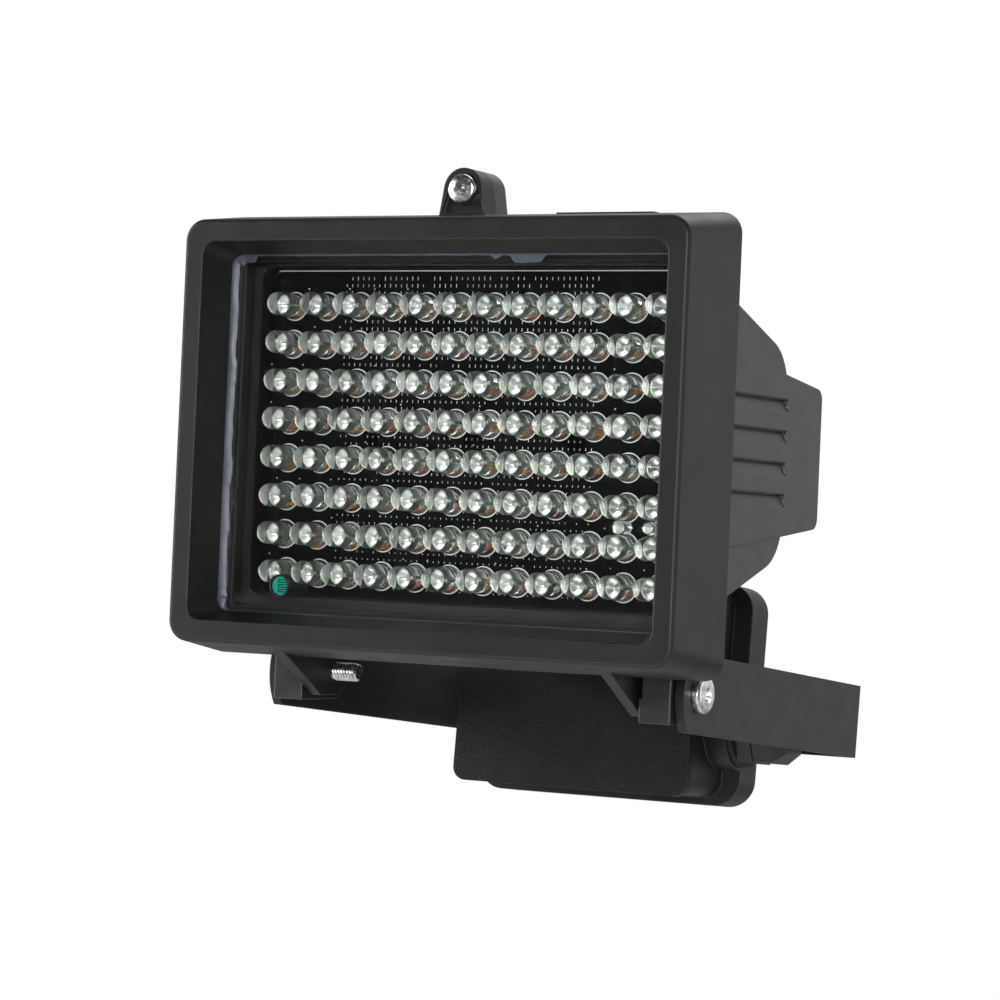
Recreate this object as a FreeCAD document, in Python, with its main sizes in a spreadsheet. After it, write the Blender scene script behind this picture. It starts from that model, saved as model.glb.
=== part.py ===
import FreeCAD, Part
import math
import os
import Sketcher
from FreeCAD import Placement, Rotation, Vector

# Infrared illuminator: a lamp with an LED board behind glass, a junction box behind it and
# a U-bracket for the wall. Lengths are in millimetres and angles in degrees.
#
# Row frame: origin at the middle of the bracket's wall face, +Y into the wall, +Z up.
# Lamp frame: origin at the middle of the front face, X to the right, Y backwards, Z up.
# Box frame: origin on the front of the box's base plate, X, Y and Z as in the lamp frame.
# "back" is a distance along Y and "rise" one along Z; "drop" is a distance downwards.

SIZES = (
    # front frame
    ("frame_width", 115.6, "front face, side to side"),
    ("frame_height", 87.2, "front face, top to bottom"),
    ("frame_depth", 18.6, "front face to the joint with the housing"),
    ("frame_flare", 2.5, "how far each side spreads towards the rear"),
    ("frame_corner", 4.5, "outer corner radius"),
    ("frame_edge", 0.6, "bevel of the front edges"),
    ("lip_width", 4.4, "flat face around the opening"),
    ("recess_depth", 8.2, "sloped part of the recess"),
    ("recess_slope", 2.0, "how far each recess wall leans inwards"),
    ("recess_corner", 3.0, "corner radius of the recess"),
    ("pocket_corner", 2.4, "corner radius around the glass"),
    ("ledge_width", 1.2, "ledge behind the glass"),
    # glass, its silicone and the gasket behind the frame
    ("glass_thickness", 3.0, "toughened pane"),
    ("glass_gap", 0.3, "pane edge to frame"),
    ("seal_height", 0.8, "silicone bead on the glass"),
    ("seal_width", 1.7, "silicone bead, seen from the front"),
    ("gasket_inset", 1.8, "flange edge to gasket"),
    ("gasket_width", 2.6, "groove for the gasket"),
    ("gasket_depth", 2.2, "depth of the gasket groove"),
    ("fit_gap", 0.1, "clearance between seated pieces"),
    ("thread_gap", 0.05, "clearance of a screw in its thread"),
    # the two ears on top of the lamp and their screw
    ("ear_base", 12.0, "width of an ear at the frame"),
    ("ear_radius", 4.45, "round top of an ear"),
    ("ear_lean", 12.9, "lean of an ear's sides"),
    ("ear_screw_rise", 7.1, "ear screw above the frame's front top edge"),
    ("front_ear_depth", 5.0, "front ear, front to back"),
    ("rear_ear_depth", 5.0, "rear ear, front to back"),
    ("ear_rim", 1.1, "raised rim around the front ear"),
    ("ear_recess", 1.0, "depth inside that rim"),
    # screws
    ("screw_radius", 2.0, "M4 shank"),
    ("screw_play", 0.2, "M4 shank in a plain hole"),
    ("ear_head_radius", 3.25, "ear screw head"),
    ("ear_head_height", 2.4, "ear screw head"),
    ("ear_screw_length", 9.0, "under the head"),
    ("pivot_head_radius", 3.9, "pivot screw head"),
    ("pivot_head_height", 2.5, "pivot screw head"),
    ("pivot_screw_length", 18.0, "under the head"),
    ("small_screw_radius", 1.5, "M3 shank"),
    ("small_head_radius", 2.75, "M3 pan head"),
    ("small_head_height", 2.0, "M3 pan head"),
    ("tiny_screw_radius", 1.25, "M2.5 shank"),
    ("tiny_head_radius", 2.2, "M2.5 pan head"),
    ("tiny_head_height", 1.5, "M2.5 pan head"),
    # pivot and bracket
    ("pivot_back", 33.0, "pivot behind the front face"),
    ("pivot_below", 5.7, "pivot below the frame's front bottom edge"),
    ("pivot_drop", "=frame_height / 2 + pivot_below", "pivot below the lamp's middle"),
    ("pivot_reach", 86.3, "pivot in front of the wall"),
    ("pivot_play", 0.1, "pivot screw in the bracket"),
    ("nose_down", 5.0, "lamp tilt at rest"),
    ("strip_thickness", 2.0, "bracket steel"),
    ("strip_width", 16.0, "bracket steel"),
    ("arm_nose", 7.2, "arm end in front of the pivot"),
    ("arm_bow", 3.0, "how far the arm end bows forwards"),
    ("arm_gap", 0.3, "lug to arm"),
    ("head_gap", 0.1, "arm to screw head"),
    ("bend_radius", 2.6, "outside of the bracket's bends"),
    ("wall_hole_radius", 3.25, "middle hole in the crossbar"),
    ("wall_slot_spacing", 52.0, "slot to slot"),
    ("wall_slot_length", 14.0, "end to end"),
    ("wall_slot_width", 5.2, "slot width"),
    # lugs of the housing, and the webs of the front frame inside them
    ("lug_outer", "=base_width / 2 - body_inset + boss_height + washer_height + "
     "gland_hex_height + fit_gap + gland_nut_length + gland_gap - arm_gap",
     "outer face of a lug from the middle"),
    ("lug_width", 6.3, "lug, side to side"),
    ("lug_front", 24.2, "lug front behind the front face"),
    ("lug_length", 17.6, "lug, front to back"),
    ("lug_below", 6.1, "lug bottom below the pivot"),
    ("lug_drop", "=pivot_drop + lug_below", "lug bottom below the lamp's middle"),
    ("lug_round", 4.5, "lower rear corner"),
    ("lug_foot", 4.9, "height of a lug's wider foot"),
    ("lug_step", 0.6, "how much wider the foot is"),
    ("lug_root", 1.2, "how far a lug reaches into the housing wall"),
    ("web_gap", 0.6, "web to lug foot"),
    ("web_outer", "=lug_outer - lug_width - lug_step - web_gap",
     "outer face of a frame web from the middle"),
    ("web_width", 2.4, "frame web thickness"),
    ("web_radius", 5.0, "round end of a frame web"),
    ("web_start", 11.0, "where the web's lower edge leaves the frame"),
    ("web_slope_back", 16.2, "length of the web's sloping edge"),
    # housing
    ("wall", 2.5, "housing wall"),
    ("flange_inset", 3.5, "from the frame's side to the flange"),
    ("flange_inset_up", 2.4, "from the frame's top or bottom to the flange"),
    ("flange_width", "=frame_width + 2 * frame_flare - 2 * flange_inset", "flange"),
    ("flange_height", "=frame_height + 2 * frame_flare - 2 * flange_inset_up", "flange"),
    ("flange_depth", 6.0, "flange, front to back"),
    ("collar_inset", 3.1, "from the flange's side to the collar"),
    ("collar_inset_up", 6.2, "from the flange's top or bottom to the collar"),
    ("collar_width", "=flange_width - 2 * collar_inset", "collar behind the flange"),
    ("collar_height", "=flange_height - 2 * collar_inset_up", "collar behind the flange"),
    ("collar_depth", 1.6, "collar behind the flange"),
    ("trough_inset", 2.2, "from the collar's side to the trough"),
    ("trough_inset_up", 2.7, "from the collar's top or bottom to the trough"),
    ("trough_fall", 14.1, "how far its top falls towards its rear"),
    ("trough_width", "=collar_width - 2 * trough_inset", "curved part of the housing"),
    ("trough_front_height", "=collar_height - 2 * trough_inset_up", "at its front"),
    ("trough_rear_height", "=trough_front_height - 2 * trough_fall", "at its rear"),
    ("trough_front", 22.0, "inside the flange"),
    ("trough_rear", 64.0, "behind the front face"),
    ("trough_round", 11.0, "rear edges"),
    ("block_out", 2.0, "rear block outside the trough, at each side"),
    ("block_down", 13.7, "rear block below the trough's top, at its front"),
    ("block_fall", 6.5, "how far its top falls towards its rear"),
    ("block_width", "=trough_width + 2 * block_out", "rear block with the louvres"),
    ("block_front_height", "=trough_front_height - 2 * block_down", "at its front"),
    ("block_rear_height", "=block_front_height - 2 * block_fall", "at its rear"),
    ("block_rear", 77.7, "behind the front face"),
    ("block_round", 2.5, "upper and lower rear edges"),
    ("louvre_start", 28.0, "front end of a louvre"),
    ("louvre_end", 60.0, "rear end of a louvre"),
    ("louvre_height", 2.9, "top to bottom"),
    ("louvre_depth", 1.1, "at its upper edge"),
    ("louvre_pitch", 6.55, "from one to the next"),
    ("louvre_top", 11.7, "upper edge of the first"),
    ("rest_pad_start", 19.0, "low pad on the flange, from the middle"),
    ("rest_pad_width", 22.0, "low pad on the flange"),
    ("rest_pad_height", 2.7, "low pad on the flange"),
    ("rest_pad_depth", 3.4, "low pad on the flange"),
    # pedestal of the housing, which carries the box
    ("pedestal_width", 20.0, "side to side"),
    ("pedestal_front", 44.0, "upper front corner"),
    ("pedestal_root", 6.8, "upper front corner above the trough's bottom at its front"),
    ("pedestal_front_drop", "=trough_front_height / 2 - pedestal_root", "upper front corner"),
    ("pedestal_toe", 56.0, "lower front corner"),
    ("pedestal_height", 19.6, "upper front corner to the bottom of the seat"),
    ("pedestal_drop", "=pedestal_front_drop + pedestal_height", "bottom of the seat"),
    ("seat_down", 1.0, "top of the seat below the upper front corner"),
    ("pedestal_top", "=pedestal_front_drop + seat_down", "top of the seat"),
    ("pedestal_wall", 2.5, "around the wire duct"),
    ("seat_wall", 3.5, "behind the wire duct"),
    ("duct_width", 13.6, "wire duct, side to side"),
    # LED board and what stands on it
    ("board_plane", 22.0, "front of the board behind the front face"),
    ("board_inset", 2.9, "from the collar's side to the board"),
    ("board_inset_up", 3.2, "from the collar's top or bottom to the board, on average"),
    ("board_width", "=collar_width - 2 * board_inset", "side to side"),
    ("board_height", "=collar_height - 2 * board_inset_up", "top to bottom"),
    ("board_rise", 0.9, "board middle above the lamp's middle"),
    ("board_thickness", 1.6, "both circuit boards"),
    ("board_corner", 5.0, "board corner"),
    ("board_play", 0.6, "board edge to its pocket"),
    ("board_hole_radius", 2.1, "plain holes in the board"),
    ("board_hole_drop", 0.9, "holes below the board's middle"),
    ("led_pitch", 8.0, "LED to LED, both ways"),
    ("board_hole_spacing", "=3 * led_pitch", "hole to hole"),
    ("led_margin", 6.0, "least distance from an LED to the board's edge"),
    ("led_columns", "=floor((board_width - 2 * led_margin) / led_pitch) + 1", "in a row"),
    ("led_rows", "=floor((board_height - 2 * led_margin) / led_pitch) + 1", "rows of LEDs"),
    ("led_radius", 2.5, "5 mm LED"),
    ("led_height", 9.0, "LED above the board"),
    ("led_tip_height", 2.0, "height of the rounded tip"),
    ("led_tip_inset", 0.9, "how far the tip draws in"),
    ("led_grid_drop", 1.45, "middle of the LEDs below the board's middle"),
    ("led_rise", "=board_rise - led_grid_drop + led_pitch * (led_rows - 1) / 2",
     "top row above the lamp's middle"),
    ("photocell_below", 2.95, "photocell below the bottom row"),
    ("photocell_side", "=led_pitch * (led_columns - 2) / 2", "between the first two LEDs"),
    ("photocell_drop", "=led_pitch * (led_rows - 1) - led_rise + photocell_below",
     "photocell below the lamp's middle"),
    ("photocell_radius", 2.0, "photocell disc"),
    ("photocell_height", 7.6, "photocell above the board"),
    ("holder_wall", 0.3, "black sleeve around the photocell"),
    ("holder_height", 8.0, "black sleeve around the photocell"),
    ("small_led_radius", 1.45, "3 mm LED and sensor"),
    ("small_led_drop", "=led_pitch * (led_rows - 2.5) - led_rise", "two rows up, between rows"),
    ("indicator_side", "=led_pitch * (led_columns - 3) / 2", "over the last LED but one"),
    ("indicator_height", 5.0, "indicator LED above the board"),
    ("sensor_beside", 6.0, "small sensor beside the indicator LED"),
    ("sensor_side", "=indicator_side + sensor_beside", "small sensor from the middle"),
    ("sensor_height", 3.4, "small sensor above the board"),
    ("plug_width", 8.0, "connector behind the board"),
    ("plug_height", 5.0, "connector behind the board"),
    ("plug_depth", 6.0, "connector behind the board"),
    ("plug_above", 8.0, "connector above the pedestal's upper front corner"),
    ("plug_drop", "=pedestal_front_drop - plug_above", "connector below the lamp's middle"),
    # junction box
    ("box_back", 72.7, "box origin behind the front face"),
    ("box_below", 9.4, "box origin below the pedestal's bottom"),
    ("box_drop", "=pedestal_drop + box_below", "box origin below the lamp's middle"),
    ("box_lean", 5.0, "box leans back from the lamp"),
    ("box_rise", 7.2, "middle of the box above its origin"),
    ("base_width", 57.0, "textured base plate"),
    ("base_height", 46.5, "textured base plate"),
    ("base_thickness", 2.0, "textured base plate"),
    ("base_corner", 3.0, "textured base plate"),
    ("body_inset", 0.6, "box body inside the base plate's edge"),
    ("body_corner", 4.0, "box body"),
    ("box_seal_height", 0.8, "seal between plate and body"),
    ("box_seal_width", 1.5, "seal between plate and body"),
    ("box_wall", 2.2, "box body wall"),
    ("rim_front", 19.2, "flared rim behind the plate's front"),
    ("rim_rear", 28.7, "rear of the box"),
    ("rim_flare", 4.4, "rim outside the body, at each side"),
    ("rim_flare_up", 1.65, "rim outside the body, above and below"),
    ("rim_corner", 6.0, "flared rim"),
    ("rim_edge", 1.5, "rounded rear edge of the rim"),
    ("post_inset", 5.9, "box screw from the plate's side"),
    ("post_inset_up", 6.05, "box screw from the plate's top or bottom"),
    ("post_spacing_across", "=base_width - 2 * post_inset", "box screws, side to side"),
    ("post_spacing_up", "=base_height - 2 * post_inset_up", "box screws, top to bottom"),
    ("post_radius", 3.6, "posts around the box screws"),
    ("stud_radius", 3.0, "bosses on the base plate"),
    ("stud_height", 4.6, "bosses on the base plate"),
    ("sink_depth", 4.0, "how deep the box screws are sunk"),
    ("sink_play", 0.2, "box screw head in its hole"),
    ("box_screw_length", 21.5, "under the head"),
    # power supply in the box
    ("power_gap", 1.5, "power board to the posts"),
    ("power_width", "=post_spacing_across - 2 * post_radius - 2 * power_gap", "power board"),
    ("power_height", 27.0, "power board"),
    ("power_rise", 0.9, "power board middle above the box origin"),
    ("power_stand", 5.0, "power board off the base plate"),
    ("power_hole_inset", 3.0, "power board screw from the board's side"),
    ("power_hole_inset_up", 2.5, "power board screw from its top or bottom"),
    ("power_spacing_across", "=power_width - 2 * power_hole_inset", "side to side"),
    ("power_spacing_up", "=power_height - 2 * power_hole_inset_up", "top to bottom"),
    ("power_stud_radius", 2.4, "bosses under the power board"),
    ("tiny_screw_length", 5.0, "under the head"),
    ("part_room", 3.5, "room beside each of the two large parts, and around the screws"),
    ("transformer_width", "=power_spacing_across / 2 - part_room", "side to side"),
    ("transformer_height", 11.4, "top to bottom"),
    ("transformer_depth", 12.0, "off the board"),
    ("transformer_off", 0.9, "from the middle to its near side"),
    ("transformer_side", "=transformer_width / 2 + transformer_off", "left of the middle"),
    ("transformer_drop", 6.4, "below the box origin"),
    ("capacitor_slack", 0.5, "how much thinner it is than the transformer, at each side"),
    ("capacitor_radius", "=transformer_width / 2 - capacitor_slack", "smoothing capacitor"),
    ("capacitor_length", 14.0, "smoothing capacitor"),
    ("capacitor_off", 1.0, "from the middle to its near side"),
    ("capacitor_side", "=capacitor_radius + capacitor_off", "right of the middle"),
    ("capacitor_drop", 6.4, "below the box origin"),
    ("terminal_width", 15.0, "terminal block"),
    ("terminal_height", 8.0, "terminal block"),
    ("terminal_depth", 10.0, "terminal block"),
    ("terminal_rise", 5.0, "its middle above the box origin"),
    # hollow nipple between housing and box, with its two nuts and its seal
    ("nipple_rise", 18.5, "above the box origin"),
    ("nipple_radius", 4.0, "M8 tube"),
    ("nipple_bore", 2.8, "radius of its bore"),
    ("nipple_ahead", 9.0, "in front of the base plate"),
    ("nipple_behind", 6.0, "behind the front of the base plate"),
    ("nipple_nut_radius", 6.3, "corner radius of its nuts"),
    ("nipple_nut_height", 2.4, "its nuts"),
    ("nipple_seal_radius", 7.5, "flat seal on the base plate"),
    ("nipple_seal_height", 1.0, "flat seal on the base plate"),
    # cable gland on the right side of the box
    ("gland_back", 17.5, "gland axis behind the plate's front"),
    ("gland_rise", 1.0, "gland axis above the box origin"),
    ("boss_radius", 10.2, "round boss on the box wall"),
    ("boss_height", 5.1, "round boss on the box wall"),
    ("stem_radius", 6.2, "threaded stem"),
    ("stem_bore", 3.75, "radius of the way through the stem"),
    ("stem_behind_nut", 1.0, "stem past the inner nut"),
    ("washer_radius", 9.5, "rubber washer"),
    ("washer_height", 1.2, "rubber washer"),
    ("gland_hex_radius", 9.6, "corner radius of the hexagon"),
    ("gland_hex_height", 3.6, "hexagon"),
    ("gland_neck_radius", 6.6, "threaded neck under the nut"),
    ("gland_neck_height", 4.4, "threaded neck under the nut"),
    ("insert_radius", 5.1, "rubber insert"),
    ("insert_bore", 3.25, "radius that clamps the cable"),
    ("insert_length", 5.4, "rubber insert"),
    ("gland_nut_radius", 9.3, "corner radius of the dome nut"),
    ("gland_nut_length", 7.6, "dome nut"),
    ("gland_nut_dome", 3.4, "tapered end of the dome nut"),
    ("gland_gap", 1.2, "dome nut to the bracket's arm"),
    ("gland_nut_taper", 2.4, "how far the tapered end draws in"),
    ("gland_nut_mouth", 3.9, "hole radius in the end of the dome nut"),
    ("locknut_radius", 8.0, "corner radius of the inner nut"),
    ("locknut_height", 2.6, "inner nut"),
    # two-core lead from the board to the power supply
    ("lead_radius", 1.2, "lead"),
    ("lead_first_run", 18.0, "straight out of the connector"),
    ("lead_entry", 12.0, "turn in front of the base plate"),
    ("lead_bend", 12.0, "radius of its bends in the housing"),
    ("lead_turn", 8.0, "radius of its bend in the box"),
)
LOUVRES = 4
HEAD_ROUND = 0.6
ALIASES = {alias for alias, value, note in SIZES}

doc = FreeCAD.newDocument("infrared_illuminator")
sheet = doc.addObject("Spreadsheet::Sheet", "Sizes")
for row, (alias, value, note) in enumerate(SIZES, start=1):
    sheet.set("A%d" % row, alias)
    sheet.set("C%d" % row, note)
    sheet.setAlias("B%d" % row, alias)
for row, (alias, value, note) in enumerate(SIZES, start=1):
    sheet.set("B%d" % row, str(value))
doc.recompute()


# Expressions that several pieces share

OPENING_WIDTH = "(frame_width - 2 * lip_width)"
OPENING_HEIGHT = "(frame_height - 2 * lip_width)"
POCKET_WIDTH = "(frame_width - 2 * lip_width - 2 * recess_slope)"
POCKET_HEIGHT = "(frame_height - 2 * lip_width - 2 * recess_slope)"
GLASS_FRONT = "(recess_depth + seal_height)"
GLASS_REAR = "(recess_depth + seal_height + glass_thickness)"
GASKET_WIDTH = "(flange_width - 2 * gasket_inset)"
GASKET_HEIGHT = "(flange_height - 2 * gasket_inset)"
EAR_FACE = "(frame_depth - front_ear_depth)"
EAR_RISE = "(frame_height / 2 + ear_screw_rise)"
BOARD_REAR = "(board_plane + board_thickness)"
COLLAR_REAR = "(frame_depth + flange_depth + collar_depth)"
TROUGH_SLOPE = "((trough_front_height - trough_rear_height) / (trough_rear - trough_front))"
BLOCK_SLOPE = "((block_front_height - block_rear_height) / (block_rear - trough_front))"
LUG_REAR = "(lug_front + lug_length)"
ARM_INNER = "(lug_outer + arm_gap)"
ARM_OUTER = "(lug_outer + arm_gap + strip_thickness)"
BODY_WIDTH = "(base_width - 2 * body_inset)"
BODY_HEIGHT = "(base_height - 2 * body_inset)"
BODY_FRONT = "(base_thickness + box_seal_height)"
BODY_INNER = "(base_width / 2 - body_inset - box_wall)"
CAVITY_REAR = "(rim_rear - box_wall)"
POST_FRONT = "(base_thickness + stud_height + fit_gap)"
SINK_FLOOR = "(rim_rear - sink_depth)"
POWER_FRONT = "(base_thickness + power_stand)"
POWER_REAR = "(base_thickness + power_stand + board_thickness)"
BOSS_FACE = "(base_width / 2 - body_inset + boss_height)"
HEX_FOOT = "(base_width / 2 - body_inset + boss_height + washer_height)"
HEX_FACE = "(base_width / 2 - body_inset + boss_height + washer_height + gland_hex_height)"

# where the lamp frame's origin lies in the row frame
LAMP_Y = "(-pivot_reach - cos(nose_down) * pivot_back - sin(nose_down) * pivot_drop)"
LAMP_Z = "(cos(nose_down) * pivot_drop - sin(nose_down) * pivot_back)"


def trough_height(back):
    return "(trough_front_height - %s * (%s - trough_front))" % (TROUGH_SLOPE, back)


def block_height(back):
    return "(block_front_height - %s * (%s - trough_front))" % (BLOCK_SLOPE, back)


def seat_back(drop):
    """How far behind the front face the box's seat lies, at a drop below the middle."""
    ahead = "nipple_seal_height / cos(box_lean)"
    return "(box_back - %s + tan(box_lean) * (box_drop - %s))" % (ahead, drop)


def full(text):
    """Put the sheet's name before each alias in an expression."""
    pieces = []
    word = ""
    for letter in text + " ":
        if letter.isalnum() or letter in "_.":
            word += letter
            continue
        pieces.append("Sizes." + word if word in ALIASES else word)
        pieces.append(letter)
        word = ""
    return "".join(pieces).strip()


def value_of(text):
    return float(sheet.evalExpression(full(text)))


# Helpers for placing, sketching and shaping

def seat(piece, across="0", back="0", rise="0", turn="0"):
    """Place a piece in the lamp frame, turned about the X axis."""
    piece.Placement = Placement(Vector(0, 0, 0), Rotation(Vector(1, 0, 0), 1))
    base_y = "%s + cos(nose_down) * (%s) - sin(nose_down) * (%s)" % (LAMP_Y, back, rise)
    base_z = "%s + sin(nose_down) * (%s) + cos(nose_down) * (%s)" % (LAMP_Z, back, rise)
    piece.setExpression("Placement.Rotation.Angle", full("nose_down + (%s)" % turn))
    piece.setExpression("Placement.Base.x", full(across))
    piece.setExpression("Placement.Base.y", full(base_y))
    piece.setExpression("Placement.Base.z", full(base_z))
    return piece


def seat_in_box(piece):
    """Place a piece in the box frame, which leans back from the lamp."""
    return seat(piece, back="box_back", rise="-box_drop", turn="-box_lean")


def new_body(label, several=False):
    body = doc.addObject("PartDesign::Body", label)
    body.Label = label
    body.AllowCompound = several
    return body


def origin_feature(body, role):
    return [item for item in body.Origin.OriginFeatures if item.Role == role][0]


def new_sketch(body, plane, offset="0"):
    sketch = body.newObject("Sketcher::SketchObject", body.Label + "_sketch")
    sketch.AttachmentSupport = [(origin_feature(body, plane), "")]
    sketch.MapMode = "FlatFace"
    sketch.setExpression("AttachmentOffset.Base.z", full(offset))
    return sketch


def front_sketch(body, back="0"):
    """Sketch that faces forwards, at a distance behind the piece's own origin."""
    return new_sketch(body, "XZ_Plane", "-(%s)" % back)


def side_sketch(body, across="0"):
    """Sketch seen from the right: its first axis runs backwards and its second upwards."""
    return new_sketch(body, "YZ_Plane", across)


def pin_point(sketch, curve, point, across, rise):
    """Hold one sketch point at two expressions, measured from the origin."""
    for kind, text in (("DistanceX", across), ("DistanceY", rise)):
        constraint = Sketcher.Constraint(kind, -1, 1, curve, point, value_of(text))
        number = sketch.addConstraint(constraint)
        sketch.setExpression("Constraints[%d]" % number, full(text))


def pin_radius(sketch, curve, radius):
    number = sketch.addConstraint(Sketcher.Constraint("Radius", curve, value_of(radius)))
    sketch.setExpression("Constraints[%d]" % number, full(radius))


def add_outline(sketch, corners):
    """Closed straight-sided outline; each corner is a pair of expressions."""
    spots = [Vector(value_of(across), value_of(rise), 0) for across, rise in corners]
    first = sketch.GeometryCount
    count = len(spots)
    for index in range(count):
        line = Part.LineSegment(spots[index], spots[(index + 1) % count])
        sketch.addGeometry(line, False)
    for index in range(count):
        ends = (first + index, 2, first + (index + 1) % count, 1)
        sketch.addConstraint(Sketcher.Constraint("Coincident", *ends))
    for index, (across, rise) in enumerate(corners):
        pin_point(sketch, first + index, 1, across, rise)


def add_rectangle(sketch, width, height, rise="0", across="0"):
    half_width = "(%s) / 2" % width
    half_height = "(%s) / 2" % height
    left = "%s - %s" % (across, half_width)
    right = "%s + %s" % (across, half_width)
    low = "%s - %s" % (rise, half_height)
    high = "%s + %s" % (rise, half_height)
    add_outline(sketch, [(left, low), (right, low), (right, high), (left, high)])


def add_circle(sketch, radius, across="0", rise="0"):
    middle = Vector(value_of(across), value_of(rise), 0)
    circle = Part.Circle(middle, Vector(0, 0, 1), value_of(radius))
    curve = sketch.addGeometry(circle, False)
    pin_point(sketch, curve, 3, across, rise)
    pin_radius(sketch, curve, radius)


def add_hexagon(sketch, radius, across, rise):
    """Hexagon with its flats above and below."""
    corners = []
    for angle in range(0, 360, 60):
        corners.append((
            "%s + %s * cos(%d)" % (across, radius, angle),
            "%s + %s * sin(%d)" % (rise, radius, angle),
        ))
    add_outline(sketch, corners)


def pad(body, sketch, length, backwards=False, both_ways=False):
    feature = body.newObject("PartDesign::Pad", body.Label + "_pad")
    feature.Profile = sketch
    feature.setExpression("Length", full(length))
    feature.Reversed = backwards
    feature.Midplane = both_ways
    doc.recompute()


def check_cut(body, before):
    if not body.Shape.Volume < before - 1e-6:
        raise RuntimeError("a cut in %s takes nothing away" % body.Label)


def cut(body, sketch, length, forwards=False, both_ways=False):
    """Pocket away from the sketch's own side, which must take something away."""
    before = body.Shape.Volume
    feature = body.newObject("PartDesign::Pocket", body.Label + "_pocket")
    feature.Profile = sketch
    feature.setExpression("Length", full(length))
    feature.Reversed = forwards
    feature.Midplane = both_ways
    doc.recompute()
    check_cut(body, before)


def wedge(body, kind, front, rear):
    """Block between two rectangles, each given as its depth, width and height."""
    before = body.Shape.Volume if kind == "SubtractiveWedge" else None
    feature = body.newObject("PartDesign::" + kind, body.Label + "_wedge")
    for (depth, width, height), names in (
        (front, ("Ymin", "Xmin", "Xmax", "Zmin", "Zmax")),
        (rear, ("Ymax", "X2min", "X2max", "Z2min", "Z2max")),
    ):
        half_width = "(%s) / 2" % width
        half_height = "(%s) / 2" % height
        texts = (depth, "-" + half_width, half_width, "-" + half_height, half_height)
        for name, expression in zip(names, texts):
            feature.setExpression(name, full(expression))
    doc.recompute()
    if before is not None:
        check_cut(body, before)


def edges_where(body, test):
    """Names of the tip's edges that pass a test on their end points."""
    names = []
    for number, edge in enumerate(body.Tip.Shape.Edges, start=1):
        if test([vertex.Point for vertex in edge.Vertexes]):
            names.append("Edge%d" % number)
    if not names:
        raise RuntimeError("no such edges on %s" % body.Label)
    return names


def check_rounding(body):
    if body.Tip.Shape.isNull():
        raise RuntimeError("%s can't be made" % body.Tip.Label)


def round_edges(body, radius, test):
    base = body.Tip
    names = edges_where(body, test)
    feature = body.newObject("PartDesign::Fillet", body.Label + "_round")
    feature.Base = (base, names)
    feature.setExpression("Radius", full(radius))
    doc.recompute()
    check_rounding(body)


def taper_edges(body, along, across, test):
    """Chamfer with its own length on each of the two faces."""
    base = body.Tip
    names = edges_where(body, test)
    feature = body.newObject("PartDesign::Chamfer", body.Label + "_taper")
    feature.Base = (base, names)
    feature.ChamferType = "Two distances"
    feature.setExpression("Size", full(along))
    feature.setExpression("Size2", full(across))
    doc.recompute()
    check_rounding(body)


def near(number, target):
    return abs(number - target) < 0.01


def at_depth(depth):
    """Test for edges that lie wholly at one depth."""
    place = value_of(depth)
    return lambda ends: all(near(point.y, place) for point in ends)


def level_at_depth(depth, height):
    """Test for edges along X at one depth and at half a height above or below."""
    place = value_of(depth)
    half = value_of(height) / 2
    return lambda ends: near(ends[0].z, ends[-1].z) and all(
        near(point.y, place) and near(abs(point.z), half) for point in ends)


def upright_at(across, depth):
    """Test for upright edges at one distance to either side and one depth."""
    side = value_of(across)
    place = value_of(depth)
    return lambda ends: near(ends[0].x, ends[-1].x) and all(
        near(abs(point.x), side) and near(point.y, place) for point in ends)


def runs_between(ends, low, high):
    """Whether an edge runs from one depth to another."""
    depths = sorted(point.y for point in ends)
    return len(ends) == 2 and near(depths[0], low) and near(depths[1], high)


def round_corners(body, width, height, corner, start, depth, rise):
    """Round the four edges that run backwards at a rectangle's corners."""
    half = value_of(width) / 2
    tall = value_of(height) / 2
    middle = value_of(rise)
    front = value_of(start)
    rear = front + value_of(depth)

    def at_corner(ends):
        return runs_between(ends, front, rear) and all(
            near(abs(point.x), half) and near(abs(point.z - middle), tall) for point in ends)

    round_edges(body, corner, at_corner)


def plate(body, width, height, corner, start, depth, rise="0"):
    """Pad a rounded rectangle that faces forwards, from start backwards."""
    sketch = front_sketch(body, start)
    add_rectangle(sketch, width, height, rise)
    pad(body, sketch, depth, backwards=True)
    round_corners(body, width, height, corner, start, depth, rise)


def window(body, width, height, corner, start, depth, rise="0"):
    """Cut a rounded rectangle that faces forwards, from start backwards."""
    sketch = front_sketch(body, start)
    add_rectangle(sketch, width, height, rise)
    cut(body, sketch, depth)
    round_corners(body, width, height, corner, start, depth, rise)


def ring_plate(body, width, height, bar, corner, start, depth, rise="0"):
    """Flat rectangular ring that faces forwards, such as a seal."""
    inner_width = "(%s - 2 * (%s))" % (width, bar)
    inner_height = "(%s - 2 * (%s))" % (height, bar)
    plate(body, width, height, corner, start, depth, rise)
    window(body, inner_width, inner_height, "(%s) / 2" % corner, start, depth, rise)


def spots_around(spacing_across, spacing_up, rise):
    """Four places at the corners of a rectangle, each a pair of expressions."""
    places = []
    for side in ("-", ""):
        for level in ("-", "+"):
            across = "%s%s / 2" % (side, spacing_across)
            places.append((across, "%s %s %s / 2" % (rise, level, spacing_up)))
    return places


POSTS = spots_around("post_spacing_across", "post_spacing_up", "box_rise")
POWER_STUDS = spots_around("power_spacing_across", "power_spacing_up", "power_rise")
EAR_SPOT = [("0", EAR_RISE)]
NIPPLE_SPOT = [("0", "nipple_rise")]


def discs(body, spots, radius, start, depth):
    """Round pads that face forwards, from start backwards."""
    sketch = front_sketch(body, start)
    for across, rise in spots:
        add_circle(sketch, radius, across, rise)
    pad(body, sketch, depth, backwards=True)


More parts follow.
